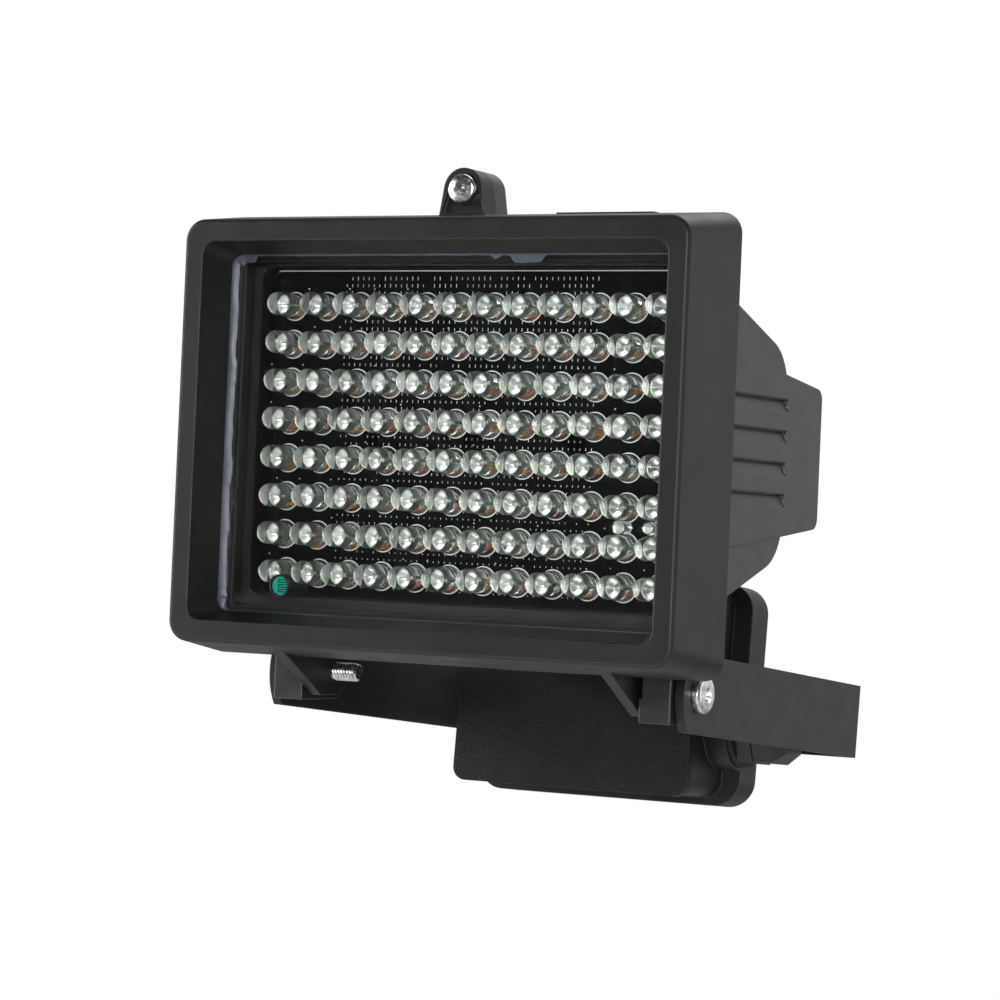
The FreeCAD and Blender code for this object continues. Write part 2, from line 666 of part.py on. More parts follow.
def bores(body, spots, radius, start, depth):
    """Round holes that face forwards, from start backwards."""
    sketch = front_sketch(body, start)
    for across, rise in spots:
        add_circle(sketch, radius, across, rise)
    cut(body, sketch, depth)


def cross_hole(body, radius, back, rise):
    """Hole from side to side through the whole piece."""
    sketch = side_sketch(body)
    add_circle(sketch, radius, back, rise)
    cut(body, sketch, "2 * frame_width", both_ways=True)


def block(body, width, height, start, depth, rise, across):
    """Plain rectangular pad that faces forwards."""
    sketch = front_sketch(body, start)
    add_rectangle(sketch, width, height, rise, across)
    pad(body, sketch, depth, backwards=True)


# Bracket and the screws that hold the lamp

def cut_arm_ends(body):
    """Bow the arms' ends, as seen from the side."""
    sketch = side_sketch(body)
    tip = "-(pivot_reach + arm_nose)"
    corner = "-(pivot_reach + arm_nose - arm_bow)"
    ahead = "-(pivot_reach + 2 * arm_nose)"
    half = "strip_width / 2"
    top = Vector(value_of(corner), value_of(half), 0)
    low = Vector(value_of(corner), -value_of(half), 0)
    far_top = Vector(value_of(ahead), value_of(half), 0)
    far_low = Vector(value_of(ahead), -value_of(half), 0)
    sketch.addGeometry(Part.LineSegment(top, far_top), False)
    sketch.addGeometry(Part.LineSegment(far_top, far_low), False)
    sketch.addGeometry(Part.LineSegment(far_low, low), False)
    sketch.addGeometry(Part.Arc(top, Vector(value_of(tip), 0, 0), low), False)
    arc = sketch.Geometry[3]
    starts_on_top = arc.StartPoint.y > 0
    top_end = 1 if starts_on_top else 2
    for ends in ((0, 2, 1, 1), (1, 2, 2, 1), (0, 1, 3, top_end), (2, 2, 3, 3 - top_end)):
        sketch.addConstraint(Sketcher.Constraint("Coincident", *ends))
    pin_point(sketch, 0, 1, corner, half)
    pin_point(sketch, 0, 2, ahead, half)
    pin_point(sketch, 2, 1, ahead, "-" + half)
    pin_point(sketch, 2, 2, corner, "-" + half)
    pin_radius(sketch, 3, "(arm_bow + strip_width ^ 2 / 4 / arm_bow) / 2")
    cut(body, sketch, "2 * frame_width", both_ways=True)


def cut_wall_slots(body):
    """Round-ended slots on both sides of the crossbar's middle hole."""
    reach = "(wall_slot_length - wall_slot_width) / 2"
    ends = []
    sketch = front_sketch(body, "-2 * strip_thickness")
    for side in ("-", ""):
        middle = "%swall_slot_spacing / 2" % side
        add_rectangle(sketch, "wall_slot_length - wall_slot_width", "wall_slot_width", "0", middle)
        ends.append(("%s - %s" % (middle, reach), "0"))
        ends.append(("%s + %s" % (middle, reach), "0"))
    cut(body, sketch, "3 * strip_thickness")
    bores(body, ends, "wall_slot_width / 2", "-2 * strip_thickness", "3 * strip_thickness")


def make_bracket():
    """U of steel strip: crossbar on the wall, one arm on each side of the lamp."""
    body = new_body("bracket")
    nose = "-(pivot_reach + arm_nose)"
    sketch = new_sketch(body, "XY_Plane")
    add_outline(sketch, [
        ("-" + ARM_OUTER, "0"),
        ("-" + ARM_OUTER, nose),
        ("-" + ARM_INNER, nose),
        ("-" + ARM_INNER, "-strip_thickness"),
        (ARM_INNER, "-strip_thickness"),
        (ARM_INNER, nose),
        (ARM_OUTER, nose),
        (ARM_OUTER, "0"),
    ])
    pad(body, sketch, "strip_width", both_ways=True)
    round_edges(body, "bend_radius", upright_at(ARM_OUTER, "0"))
    round_edges(body, "bend_radius - strip_thickness", upright_at(ARM_INNER, "-strip_thickness"))
    cut_arm_ends(body)
    cross_hole(body, "screw_radius + pivot_play", "-pivot_reach", "0")
    bores(body, [("0", "0")], "wall_hole_radius", "-2 * strip_thickness", "3 * strip_thickness")
    cut_wall_slots(body)
    return body


def make_pivot_screws():
    """Two M4 screws through the arms, threaded into the lugs."""
    body = new_body("pivot_screws", several=True)
    face = "(%s + head_gap)" % ARM_OUTER
    for side, backwards in (("", False), ("-", True)):
        head = side_sketch(body, side + face)
        add_circle(head, "pivot_head_radius", "pivot_back", "-pivot_drop")
        pad(body, head, "pivot_head_height", backwards=backwards)
        shank = side_sketch(body, side + face)
        add_circle(shank, "screw_radius", "pivot_back", "-pivot_drop")
        pad(body, shank, "pivot_screw_length", backwards=not backwards)
    top = value_of(face + " + pivot_head_height")
    round_edges(body, "%g * pivot_head_height" % HEAD_ROUND,
                lambda ends: all(near(abs(p.x), top) for p in ends))
    return seat(body)


def make_frame_screw():
    """M4 screw through the front ear into the rear one."""
    body = new_body("frame_screw")
    face = "(%s + ear_recess)" % EAR_FACE
    discs(body, EAR_SPOT, "ear_head_radius", face + " - ear_head_height", "ear_head_height")
    discs(body, EAR_SPOT, "screw_radius", face, "ear_screw_length")
    round_edges(body, "%g * ear_head_height" % HEAD_ROUND, at_depth(face + " - ear_head_height"))
    return seat(body)


# Front frame and what it holds

def ear_corners(foot, inset):
    """Straight-sided part of an ear, below its round top."""
    top = "(ear_radius - %s)" % inset
    side = "%s * cos(ear_lean)" % top
    rise = "%s + %s * sin(ear_lean)" % (EAR_RISE, top)
    base = "(ear_base / 2 - %s)" % inset
    return [("-" + base, foot), (base, foot), (side, rise), ("-" + side, rise)]


def add_ear(body, start, depth):
    """Ear that stands on top of the lamp, with a round top."""
    sketch = front_sketch(body, start)
    add_outline(sketch, ear_corners("frame_height / 2 - 4 * frame_edge", "0"))
    pad(body, sketch, depth, backwards=True)
    discs(body, EAR_SPOT, "ear_radius", start, depth)


def hollow_ear(body):
    """Sink the face of the front ear inside its rim."""
    sketch = front_sketch(body, EAR_FACE)
    add_outline(sketch, ear_corners("frame_height / 2 + frame_flare", "ear_rim"))
    cut(body, sketch, "ear_recess")
    bores(body, EAR_SPOT, "ear_radius - ear_rim", EAR_FACE, "ear_recess")


def add_web(body, side, backwards):
    """Web from the frame's bottom edge down and back to the pivot."""
    inner = "%s(web_outer - web_width)" % side
    low = "-(pivot_drop + web_radius)"
    high = "-(pivot_drop - web_radius)"
    web = side_sketch(body, inner)
    add_outline(web, [
        ("web_start", "-(frame_height / 2 + frame_flare / 2)"),
        ("web_start + web_slope_back", low),
        ("pivot_back", low),
        ("pivot_back", high),
        ("frame_depth - ledge_width", high),
    ])
    pad(body, web, "web_width", backwards=backwards)
    end = side_sketch(body, inner)
    add_circle(end, "web_radius", "pivot_back", "-pivot_drop")
    pad(body, end, "web_width", backwards=backwards)


def cut_recess(body):
    """Sloping recess, straight pocket for the glass, ledge behind it and gasket groove."""
    wedge(body, "SubtractiveWedge", ("0", OPENING_WIDTH, OPENING_HEIGHT),
          ("recess_depth", POCKET_WIDTH, POCKET_HEIGHT))
    deep = value_of("recess_depth")
    round_edges(body, "recess_corner", lambda ends: runs_between(ends, 0, deep))
    window(body, POCKET_WIDTH, POCKET_HEIGHT, "pocket_corner", "recess_depth",
           GLASS_REAR + " - recess_depth")
    ledge = "(%s - 2 * ledge_width)"
    window(body, ledge % POCKET_WIDTH, ledge % POCKET_HEIGHT, "pocket_corner - ledge_width",
           GLASS_REAR, "frame_depth - " + GLASS_REAR)
    groove = front_sketch(body, "frame_depth - gasket_depth")
    add_rectangle(groove, GASKET_WIDTH, GASKET_HEIGHT)
    add_rectangle(groove, GASKET_WIDTH + " - 2 * gasket_width", GASKET_HEIGHT + " - 2 * gasket_width")
    cut(body, groove, "gasket_depth")


def make_front_frame():
    """Frame around the glass, with the front ear and two webs down to the pivots."""
    body = new_body("front_frame")
    wedge(body, "AdditiveWedge", ("0", "frame_width", "frame_height"),
          ("frame_depth", "frame_width + 2 * frame_flare", "frame_height + 2 * frame_flare"))
    depth = value_of("frame_depth")
    round_edges(body, "frame_corner", lambda ends: runs_between(ends, 0, depth))
    taper_edges(body, "frame_edge", "frame_edge", at_depth("0"))
    add_ear(body, EAR_FACE, "front_ear_depth")
    hollow_ear(body)
    bores(body, EAR_SPOT, "screw_radius + screw_play", "0", "frame_depth")
    add_web(body, "", False)
    add_web(body, "-", True)
    cross_hole(body, "screw_radius + screw_play", "pivot_back", "-pivot_drop")
    cut_recess(body)
    return seat(body)


def make_front_glass():
    body = new_body("front_glass")
    plate(body, POCKET_WIDTH + " - 2 * glass_gap", POCKET_HEIGHT + " - 2 * glass_gap",
          "pocket_corner", GLASS_FRONT, "glass_thickness")
    return seat(body)


def make_glass_seal():
    """Silicone bead around the pane, in the corner between glass and recess."""
    body = new_body("glass_seal")
    ring_plate(body, "(%s - 2 * fit_gap)" % POCKET_WIDTH, "(%s - 2 * fit_gap)" % POCKET_HEIGHT,
               "seal_width", "recess_corner", "recess_depth", "seal_height")
    return seat(body)


def make_frame_gasket():
    """Rubber ring in the frame's groove, against the housing's flange."""
    body = new_body("frame_gasket")
    ring = front_sketch(body, "frame_depth - gasket_depth")
    add_rectangle(ring, GASKET_WIDTH + " - 2 * fit_gap", GASKET_HEIGHT + " - 2 * fit_gap")
    inset = " - 2 * gasket_width + 2 * fit_gap"
    add_rectangle(ring, GASKET_WIDTH + inset, GASKET_HEIGHT + inset)
    pad(body, ring, "gasket_depth", backwards=True)
    return seat(body)


# Housing

def add_lug(body, side, backwards):
    """Block beside the arm that takes a pivot screw, with a slightly wider foot."""
    root = "-(%s / 2 - lug_root)"
    upper = side_sketch(body, "%s(lug_outer - lug_width)" % side)
    add_outline(upper, [
        ("lug_front", "-lug_drop"),
        (LUG_REAR, "-lug_drop"),
        (LUG_REAR, root % trough_height(LUG_REAR)),
        ("lug_front", root % trough_height("lug_front")),
    ])
    pad(body, upper, "lug_width", backwards=backwards)
    foot = side_sketch(body, "%s(lug_outer - lug_width - lug_step)" % side)
    add_outline(foot, [
        ("lug_front", "-lug_drop"),
        (LUG_REAR, "-lug_drop"),
        (LUG_REAR, "-lug_drop + lug_foot"),
        ("lug_front", "-lug_drop + lug_foot"),
    ])
    pad(body, foot, "lug_width + lug_step", backwards=backwards)


def add_pedestal(body):
    """Leaning pedestal under the trough, with the box's seat at its rear."""
    sketch = side_sketch(body)
    add_outline(sketch, [
        ("pedestal_front", "-(%s / 2 - wall)" % trough_height("pedestal_front")),
        ("pedestal_front", "-pedestal_front_drop"),
        ("pedestal_toe", "-pedestal_drop"),
        (seat_back("pedestal_drop"), "-pedestal_drop"),
        (seat_back("pedestal_top"), "-pedestal_top"),
        ("trough_rear", "-(trough_rear_height / 2 - wall)"),
    ])
    pad(body, sketch, "pedestal_width", both_ways=True)


def cut_duct(body):
    """Wire duct from the trough down into the pedestal, and the nipple's hole."""
    sketch = side_sketch(body)
    front = "(pedestal_front + 1.6 * pedestal_wall)"
    floor = "(pedestal_drop - pedestal_wall)"
    roof = "(pedestal_top + pedestal_wall)"
    rear = "(trough_rear - 2 * wall)"
    add_outline(sketch, [
        (front, "-(%s / 2 - 2 * wall)" % trough_height(front)),
        (front, "-(pedestal_front_drop + pedestal_wall)"),
        ("pedestal_toe + 0.6 * pedestal_wall", "-" + floor),
        (seat_back(floor) + " - seat_wall", "-" + floor),
        (seat_back(roof) + " - seat_wall", "-" + roof),
        (rear, "-" + roof),
        (rear, "-(%s / 2 - 2 * wall)" % trough_height(rear)),
    ])
    cut(body, sketch, "duct_width", both_ways=True)
    hole = front_sketch(body)
    hole.AttachmentOffset = Placement(Vector(0, 0, 0), Rotation(Vector(1, 0, 0), 1))
    hole.setExpression("AttachmentOffset.Base.y", full("-box_drop"))
    hole.setExpression("AttachmentOffset.Base.z", full("-box_back"))
    hole.setExpression("AttachmentOffset.Rotation.Angle", full("-box_lean"))
    add_circle(hole, "nipple_radius + fit_gap", "0", "nipple_rise")
    cut(body, hole, "nipple_ahead", forwards=True)


def cut_louvres(body):
    """Louvres on both sides: deep at the top, running out at the bottom."""
    sketch = front_sketch(body, "louvre_start")
    for side in ("-", ""):
        for number in range(LOUVRES):
            top = "(louvre_top - %d * louvre_pitch)" % number
            low = "(louvre_top - %d * louvre_pitch - louvre_height)" % number
            add_outline(sketch, [
                ("%s(block_width / 2 + wall)" % side, top),
                ("%s(block_width / 2 - louvre_depth)" % side, top),
                ("%s(block_width / 2)" % side, low),
                ("%s(block_width / 2 + wall)" % side, low),
            ])
    cut(body, sketch, "louvre_end - louvre_start")


def cut_cavities(body):
    """Pocket for the board, then the hollow trough and the hollow block."""
    window(body, "board_width + 2 * board_play", "board_height + 2 * board_play",
           "board_corner", "frame_depth", BOARD_REAR + " - frame_depth", "board_rise")
    rear = "(trough_rear - wall)"
    width = "trough_width - 2 * wall"
    wedge(body, "SubtractiveWedge", ("trough_front", width, "trough_front_height - 2 * wall"),
          (rear, width, trough_height(rear) + " - 2 * wall"))
    round_edges(body, "trough_round - wall",
                level_at_depth(rear, trough_height(rear) + " - 2 * wall"))
    rear = "(block_rear - wall)"
    width = "block_width - 2 * wall"
    wedge(body, "SubtractiveWedge",
          (COLLAR_REAR, width, block_height(COLLAR_REAR) + " - 2 * wall"),
          (rear, width, block_height(rear) + " - 2 * wall"))


def add_hull(body, width, front_height, rear_height, rear, corner):
    """Tapering part of the housing with its upper and lower rear edges rounded."""
    wedge(body, "AdditiveWedge", ("trough_front", width, front_height),
          (rear, width, rear_height))
    round_edges(body, corner, level_at_depth(rear, rear_height))


def make_housing():
    """One casting: flange, trough, louvred block, lugs, rear ear and pedestal."""
    body = new_body("housing")
    plate(body, "flange_width", "flange_height", "frame_corner", "frame_depth", "flange_depth")
    plate(body, "collar_width", "collar_height", "frame_corner", "frame_depth + flange_depth",
          "collar_depth")
    add_hull(body, "trough_width", "trough_front_height", "trough_rear_height", "trough_rear",
             "trough_round")
    add_hull(body, "block_width", "block_front_height", "block_rear_height", "block_rear",
             "block_round")
    add_ear(body, "frame_depth", "rear_ear_depth")
    block(body, "rest_pad_width", "2 * rest_pad_height", "frame_depth", "rest_pad_depth",
          "flange_height / 2", "rest_pad_start + rest_pad_width / 2")
    add_lug(body, "", False)
    add_lug(body, "-", True)
    low = value_of("-lug_drop")
    far = value_of(LUG_REAR)
    round_edges(body, "lug_round",
                lambda ends: all(near(p.z, low) and near(p.y, far) for p in ends))
    add_pedestal(body)
    cut_cavities(body)
    cut_duct(body)
    cut_louvres(body)
    bores(body, EAR_SPOT, "screw_radius + thread_gap", "0", COLLAR_REAR)
    cross_hole(body, "screw_radius + thread_gap", "pivot_back", "-pivot_drop")
    return seat(body)


# LED board and what stands on it

def make_led_board():
    body = new_body("led_board")
    plate(body, "board_width", "board_height", "board_corner", "board_plane", "board_thickness",
          "board_rise")
    rise = "board_rise - board_hole_drop"
    spots = [("-board_hole_spacing", rise), ("0", rise), ("board_hole_spacing", rise)]
    bores(body, spots, "board_hole_radius", "board_plane", "board_thickness")
    return seat(body)


def make_led_row(number):
    """Row of clear 5 mm LEDs, which stand on the board and point forwards."""
    body = new_body("ir_led_row_%d" % (number + 1), several=True)
    stem = body.newObject("PartDesign::AdditivePrism", body.Label + "_stem")
    stem.Polygon = 10
    stem.setExpression("Circumradius", full("led_radius"))
    stem.setExpression("Height", full("led_height"))
    doc.recompute()
    top = value_of("led_height")
    taper_edges(body, "led_tip_height", "led_tip_inset",
                lambda ends: all(near(p.z, top) for p in ends))
    pattern = body.newObject("PartDesign::LinearPattern", body.Label + "_pattern")
    pattern.TransformMode = "Whole shape"
    pattern.Direction = (origin_feature(body, "X_Axis"), [""])
    pattern.setExpression("Length", full("led_pitch * (led_columns - 1)"))
    pattern.setExpression("Occurrences", full("led_columns"))
    body.Tip = pattern
    doc.recompute()
    return seat(body, "-led_pitch * (led_columns - 1) / 2", "board_plane",
                "led_rise - %d * led_pitch" % number, "90")


def make_board_disc(label, radius, height, across, drop):
    """Round part that stands on the board and points forwards."""
    body = new_body(label)
    discs(body, [(across, "-" + drop)], radius, "board_plane - " + height, height)
    return seat(body)


def make_small_led(label, height, across):
    """Round-topped 3 mm part on the board."""
    body = make_board_disc(label, "small_led_radius", height, across, "small_led_drop")
    round_edges(body, "0.7 * small_led_radius", at_depth("board_plane - " + height))
    return body


def make_photocell_holder():
    body = new_body("photocell_holder")
    spot = [("-photocell_side", "-photocell_drop")]
    start = "board_plane - holder_height"
    discs(body, spot, "photocell_radius + fit_gap + holder_wall", start, "holder_height")
    bores(body, spot, "photocell_radius + fit_gap", start, "holder_height")
    return seat(body)


def make_board_connector():
    body = new_body("board_connector")
    block(body, "plug_width", "plug_height", BOARD_REAR, "plug_depth", "-plug_drop", "0")
    return seat(body)


def rounded_path(corners, radii):
    """Straight runs joined by tangent arcs, one radius for each inner corner."""
    edges = []
    start = corners[0]
    for index, radius in enumerate(radii, start=1):
        before = (corners[index - 1] - corners[index]).normalize()
        after = (corners[index + 1] - corners[index]).normalize()
        half_angle = before.getAngle(after) / 2
        bisector = (before + after).normalize()
        reach = radius / math.tan(half_angle)
        first = corners[index] + before * reach
        middle = corners[index] + bisector * (radius / math.sin(half_angle) - radius)
        last = corners[index] + after * reach
        edges.append(Part.LineSegment(start, first).toShape())
        edges.append(Part.Arc(first, middle, last).toShape())
        start = last
    edges.append(Part.LineSegment(start, corners[-1]).toShape())
    return Part.Wire(edges)


def make_board_lead():
    """Two-core lead: out of the connector, down the duct, through the nipple to the terminals."""
    back = value_of(BOARD_REAR + " + plug_depth")
    rise = value_of("-plug_drop")
    lean = Rotation(Vector(1, 0, 0), value_of("-box_lean"))
    box = Vector(0, value_of("box_back"), value_of("-box_drop"))
    inside = value_of(POWER_REAR + " + terminal_depth / 2")
    level = value_of("nipple_rise")
    top = value_of("terminal_rise + terminal_height / 2")
    corners = [
        Vector(0, back, rise),
        Vector(0, back + value_of("lead_first_run"), rise),
        box + lean.multVec(Vector(0, value_of("-lead_entry"), level)),
        box + lean.multVec(Vector(0, inside, level)),
        box + lean.multVec(Vector(0, inside, top)),
    ]
    radii = [value_of("lead_bend"), value_of("lead_bend"), value_of("lead_turn")]
    section = Part.Circle(corners[0], Vector(0, 1, 0), value_of("lead_radius")).toShape()
    path = rounded_path(corners, radii)
    lead = doc.addObject("Part::Feature", "board_lead")
    lead.Label = "board_lead"
    lead.Shape = path.makePipeShell([Part.Wire([section])], True, True)
    return seat(lead)


# Junction box

def make_box_base():
    """Textured front plate of the box, with bosses for the box and power board screws."""
    body = new_body("box_base")
    plate(body, "base_width", "base_height", "base_corner", "0", "base_thickness", "box_rise")
    discs(body, POSTS, "stud_radius", "base_thickness", "stud_height")
    bores(body, POSTS, "small_screw_radius + thread_gap", "base_thickness", "stud_height")
    discs(body, POWER_STUDS, "power_stud_radius", "base_thickness", "power_stand")
    bores(body, POWER_STUDS, "tiny_screw_radius + thread_gap", "base_thickness", "power_stand")
    bores(body, NIPPLE_SPOT, "nipple_radius + fit_gap", "0", "base_thickness")
    return seat_in_box(body)


def make_box_seal():
    body = new_body("box_seal")
    ring_plate(body, "(%s - 2 * fit_gap)" % BODY_WIDTH, "(%s - 2 * fit_gap)" % BODY_HEIGHT,
               "box_seal_width", "body_corner", "base_thickness", "box_seal_height", "box_rise")
    return seat_in_box(body)


def make_box_body():
    """Smooth box with a flared rim at its rear and a round boss for the gland."""
    body = new_body("box_body")
    plate(body, BODY_WIDTH, BODY_HEIGHT, "body_corner", BODY_FRONT, "rim_front - " + BODY_FRONT,
          "box_rise")
    plate(body, "(%s + 2 * rim_flare)" % BODY_WIDTH, "(%s + 2 * rim_flare_up)" % BODY_HEIGHT,
          "rim_corner", "rim_front", "rim_rear - rim_front", "box_rise")
    round_edges(body, "rim_edge", at_depth("rim_rear"))
    boss = side_sketch(body, BODY_INNER)
    add_circle(boss, "boss_radius", "gland_back", "gland_rise")
    pad(body, boss, "boss_height + box_wall")
    window(body, "(2 * %s)" % BODY_INNER, "(%s - 2 * box_wall)" % BODY_HEIGHT,
           "body_corner - box_wall", BODY_FRONT, "(%s - %s)" % (CAVITY_REAR, BODY_FRONT),
           "box_rise")
    discs(body, POSTS, "post_radius", POST_FRONT, "%s - %s" % (CAVITY_REAR, POST_FRONT))
    bores(body, POSTS, "small_screw_radius + fit_gap", BODY_FRONT, "rim_rear - " + BODY_FRONT)
    bores(body, POSTS, "small_head_radius + sink_play", SINK_FLOOR, "sink_depth")
    gland = side_sketch(body, BOSS_FACE)
    add_circle(gland, "stem_radius + fit_gap", "gland_back", "gland_rise")
    cut(body, gland, "boss_height + 2 * box_wall")
    return seat_in_box(body)


def make_screws(label, spots, shank, length, head, head_height, face):
    """Pan head screws that go in from the rear."""
    body = new_body(label, several=True)
    discs(body, spots, head, face, head_height)
    discs(body, spots, shank, "%s - %s" % (face, length), length)
    round_edges(body, "%g * %s" % (HEAD_ROUND, head_height), at_depth(face + " + " + head_height))
    return seat_in_box(body)


def make_power_board():
    body = new_body("power_board")
    plate(body, "power_width", "power_height", "base_corner / 2", POWER_FRONT, "board_thickness",
          "power_rise")
    bores(body, POWER_STUDS, "tiny_screw_radius + fit_gap", POWER_FRONT, "board_thickness")
    return seat_in_box(body)


def make_power_part(label, width, height, depth, rise, across):
    """Rectangular part on the rear of the power board."""
    body = new_body(label)
    block(body, width, height, POWER_REAR, depth, rise, across)
    return seat_in_box(body)


def make_capacitor():
    body = new_body("capacitor")
    discs(body, [("capacitor_side", "-capacitor_drop")], "capacitor_radius", POWER_REAR,
          "capacitor_length")
    return seat_in_box(body)


def make_nipple():
    """Hollow threaded tube that fixes the box to the pedestal and carries the lead."""
    body = new_body("nipple")
    length = "nipple_ahead + nipple_behind"
    discs(body, NIPPLE_SPOT, "nipple_radius", "-nipple_ahead", length)
    bores(body, NIPPLE_SPOT, "nipple_bore", "-nipple_ahead", length)
    return seat_in_box(body)


def make_nipple_nuts():
    """One nut in the duct and one in the box."""
    body = new_body("nipple_nuts", several=True)
    in_duct = "-(nipple_seal_height + seat_wall * cos(box_lean) + nipple_nut_height)"
    for start in (in_duct, "base_thickness"):
        sketch = front_sketch(body, start)
        add_hexagon(sketch, "nipple_nut_radius", "0", "nipple_rise")
        add_circle(sketch, "nipple_radius + thread_gap", "0", "nipple_rise")
        pad(body, sketch, "nipple_nut_height", backwards=True)
    return seat_in_box(body)


def make_nipple_seal():
    body = new_body("nipple_seal")
    discs(body, NIPPLE_SPOT, "nipple_seal_radius", "-nipple_seal_height", "nipple_seal_height")
    bores(body, NIPPLE_SPOT, "nipple_radius + fit_gap", "-nipple_seal_height",
          "nipple_seal_height")
    return seat_in_box(body)


# Cable gland

def gland_ring(body, radius, bore, start, length, hexagonal=False):
    """Ring or hollow hexagon around the gland's axis, from start outwards."""
    sketch = side_sketch(body, start)
    if hexagonal:
        add_hexagon(sketch, radius, "gland_back", "gland_rise")
    else:
        add_circle(sketch, radius, "gland_back", "gland_rise")
    add_circle(sketch, bore, "gland_back", "gland_rise")
    pad(body, sketch, length)


def make_gland_body():
    """Stem through the box wall, hexagon outside and neck with a seat for the insert."""
    body = new_body("gland_body")
    inner = "(%s - locknut_height - stem_behind_nut)" % BODY_INNER
    gland_ring(body, "stem_radius", "stem_bore", inner, "%s - %s" % (HEX_FOOT, inner))
    gland_ring(body, "gland_hex_radius", "stem_bore", HEX_FOOT, "gland_hex_height", True)
    gland_ring(body, "gland_neck_radius", "insert_radius + fit_gap", HEX_FACE,
               "gland_neck_height")
    return seat_in_box(body)


def make_gland_washer():
    body = new_body("gland_washer")
    gland_ring(body, "washer_radius", "stem_radius + fit_gap", BOSS_FACE, "washer_height")
    return seat_in_box(body)


def make_gland_insert():
    """Rubber insert that squeezes the cable."""
    body = new_body("gland_insert")
    gland_ring(body, "insert_radius", "insert_bore", HEX_FACE, "insert_length")
    return seat_in_box(body)


def make_gland_nut():
    """Dome nut: hexagonal, with a tapered end and a round mouth."""
    body = new_body("gland_nut")
    foot = "(%s + fit_gap)" % HEX_FACE
    end = "(%s + gland_nut_length)" % foot
    shell = side_sketch(body, foot)
    add_hexagon(shell, "gland_nut_radius", "gland_back", "gland_rise")
    pad(body, shell, "gland_nut_length")
    face = value_of(end)
    taper_edges(body, "gland_nut_dome", "gland_nut_taper",
                lambda ends: all(near(p.x, face) for p in ends))
    neck = side_sketch(body, foot)
    add_circle(neck, "gland_neck_radius + fit_gap", "gland_back", "gland_rise")
    cut(body, neck, "gland_neck_height", forwards=True)
    seat_hole = side_sketch(body, foot)
    add_circle(seat_hole, "insert_radius + fit_gap", "gland_back", "gland_rise")
    cut(body, seat_hole, "insert_length", forwards=True)
    mouth = side_sketch(body, end)
    add_circle(mouth, "gland_nut_mouth", "gland_back", "gland_rise")
    cut(body, mouth, "gland_nut_length")
    return seat_in_box(body)


def make_gland_locknut():
    body = new_body("gland_locknut")
    start = "(%s - locknut_height)" % BODY_INNER
    gland_ring(body, "locknut_radius", "stem_radius + thread_gap", start, "locknut_height", True)
    return seat_in_box(body)


def make_lamp():
    """Everything that tilts, from the front to the rear."""
    pieces = [
        make_front_frame(),
        make_front_glass(),
        make_glass_seal(),
        make_frame_gasket(),
        make_frame_screw(),
        make_housing(),
        make_pivot_screws(),
        make_led_board(),
    ]
    pieces += [make_led_row(number) for number in range(round(value_of("led_rows")))]
    pieces += [
        make_photocell_holder(),
        make_board_disc("photocell", "photocell_radius", "photocell_height", "-photocell_side",
                        "photocell_drop"),
        make_small_led("indicator_led", "indicator_height", "indicator_side"),
        make_small_led("light_sensor", "sensor_height", "sensor_side"),
        make_board_connector(),
        make_board_lead(),
    ]
    return pieces


def make_box():
    """Junction box, its power supply, its fixing and its cable gland."""
    return [
        make_box_base(),
        make_box_seal(),
        make_box_body(),
        make_screws("box_screws", POSTS, "small_screw_radius", "box_screw_length",
                    "small_head_radius", "small_head_height", SINK_FLOOR),
        make_power_board(),
        make_screws("power_board_screws", POWER_STUDS, "tiny_screw_radius", "tiny_screw_length",
                    "tiny_head_radius", "tiny_head_height", POWER_REAR),
        make_power_part("transformer", "transformer_width", "transformer_height",
                        "transformer_depth", "-transformer_drop", "-transformer_side"),
        make_capacitor(),
        make_power_part("terminal_block", "terminal_width", "terminal_height",
                        "terminal_depth", "terminal_rise", "0"),
        make_nipple(),
        make_nipple_nuts(),
        make_nipple_seal(),
        make_gland_body(),
        make_gland_washer(),
        make_gland_insert(),
        make_gland_nut(),
        make_gland_locknut(),
    ]


def check_document():
    """Stop if anything in the document failed to build."""
    for item in doc.Objects:
        if "Invalid" in item.State or "Error" in item.State:
            raise RuntimeError("%s (%s) is in state %s" % (item.Name, item.Label, item.State))


def write_parts(pieces):
    os.makedirs("parts", exist_ok=True)
    for piece in pieces:
        if piece.Shape.isNull() or not piece.Shape.isValid():
            raise RuntimeError("%s has no valid shape" % piece.Label)
    for piece in pieces:
        piece.Shape.exportStep("parts/%s.step" % piece.Label)


all_pieces = [make_bracket()] + make_lamp() + make_box()
doc.recompute()
check_document()
write_parts(all_pieces)
print("%d pieces written" % len(all_pieces))
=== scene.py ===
import math
import random

import bmesh
import bpy
from mathutils import Matrix, Vector, noise


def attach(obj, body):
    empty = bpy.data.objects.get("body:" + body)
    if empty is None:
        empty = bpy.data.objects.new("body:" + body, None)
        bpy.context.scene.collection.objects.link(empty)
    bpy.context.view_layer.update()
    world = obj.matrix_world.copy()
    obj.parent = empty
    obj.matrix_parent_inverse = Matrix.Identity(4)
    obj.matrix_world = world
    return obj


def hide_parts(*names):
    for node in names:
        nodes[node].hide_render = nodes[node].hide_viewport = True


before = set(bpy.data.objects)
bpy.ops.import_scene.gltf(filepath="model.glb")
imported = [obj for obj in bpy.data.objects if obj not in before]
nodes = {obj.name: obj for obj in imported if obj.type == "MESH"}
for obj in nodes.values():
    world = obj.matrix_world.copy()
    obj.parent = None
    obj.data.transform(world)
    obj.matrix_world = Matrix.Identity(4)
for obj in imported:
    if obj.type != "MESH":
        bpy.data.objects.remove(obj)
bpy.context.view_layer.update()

# Pieces are drawn in millimetres in the lamp's own frame: origin at the middle of the front
# face, X right, Y backwards, Z up. The box's frame lies on the front of its base plate.
MM = 0.001
NOSE_DOWN = math.radians(5.0)
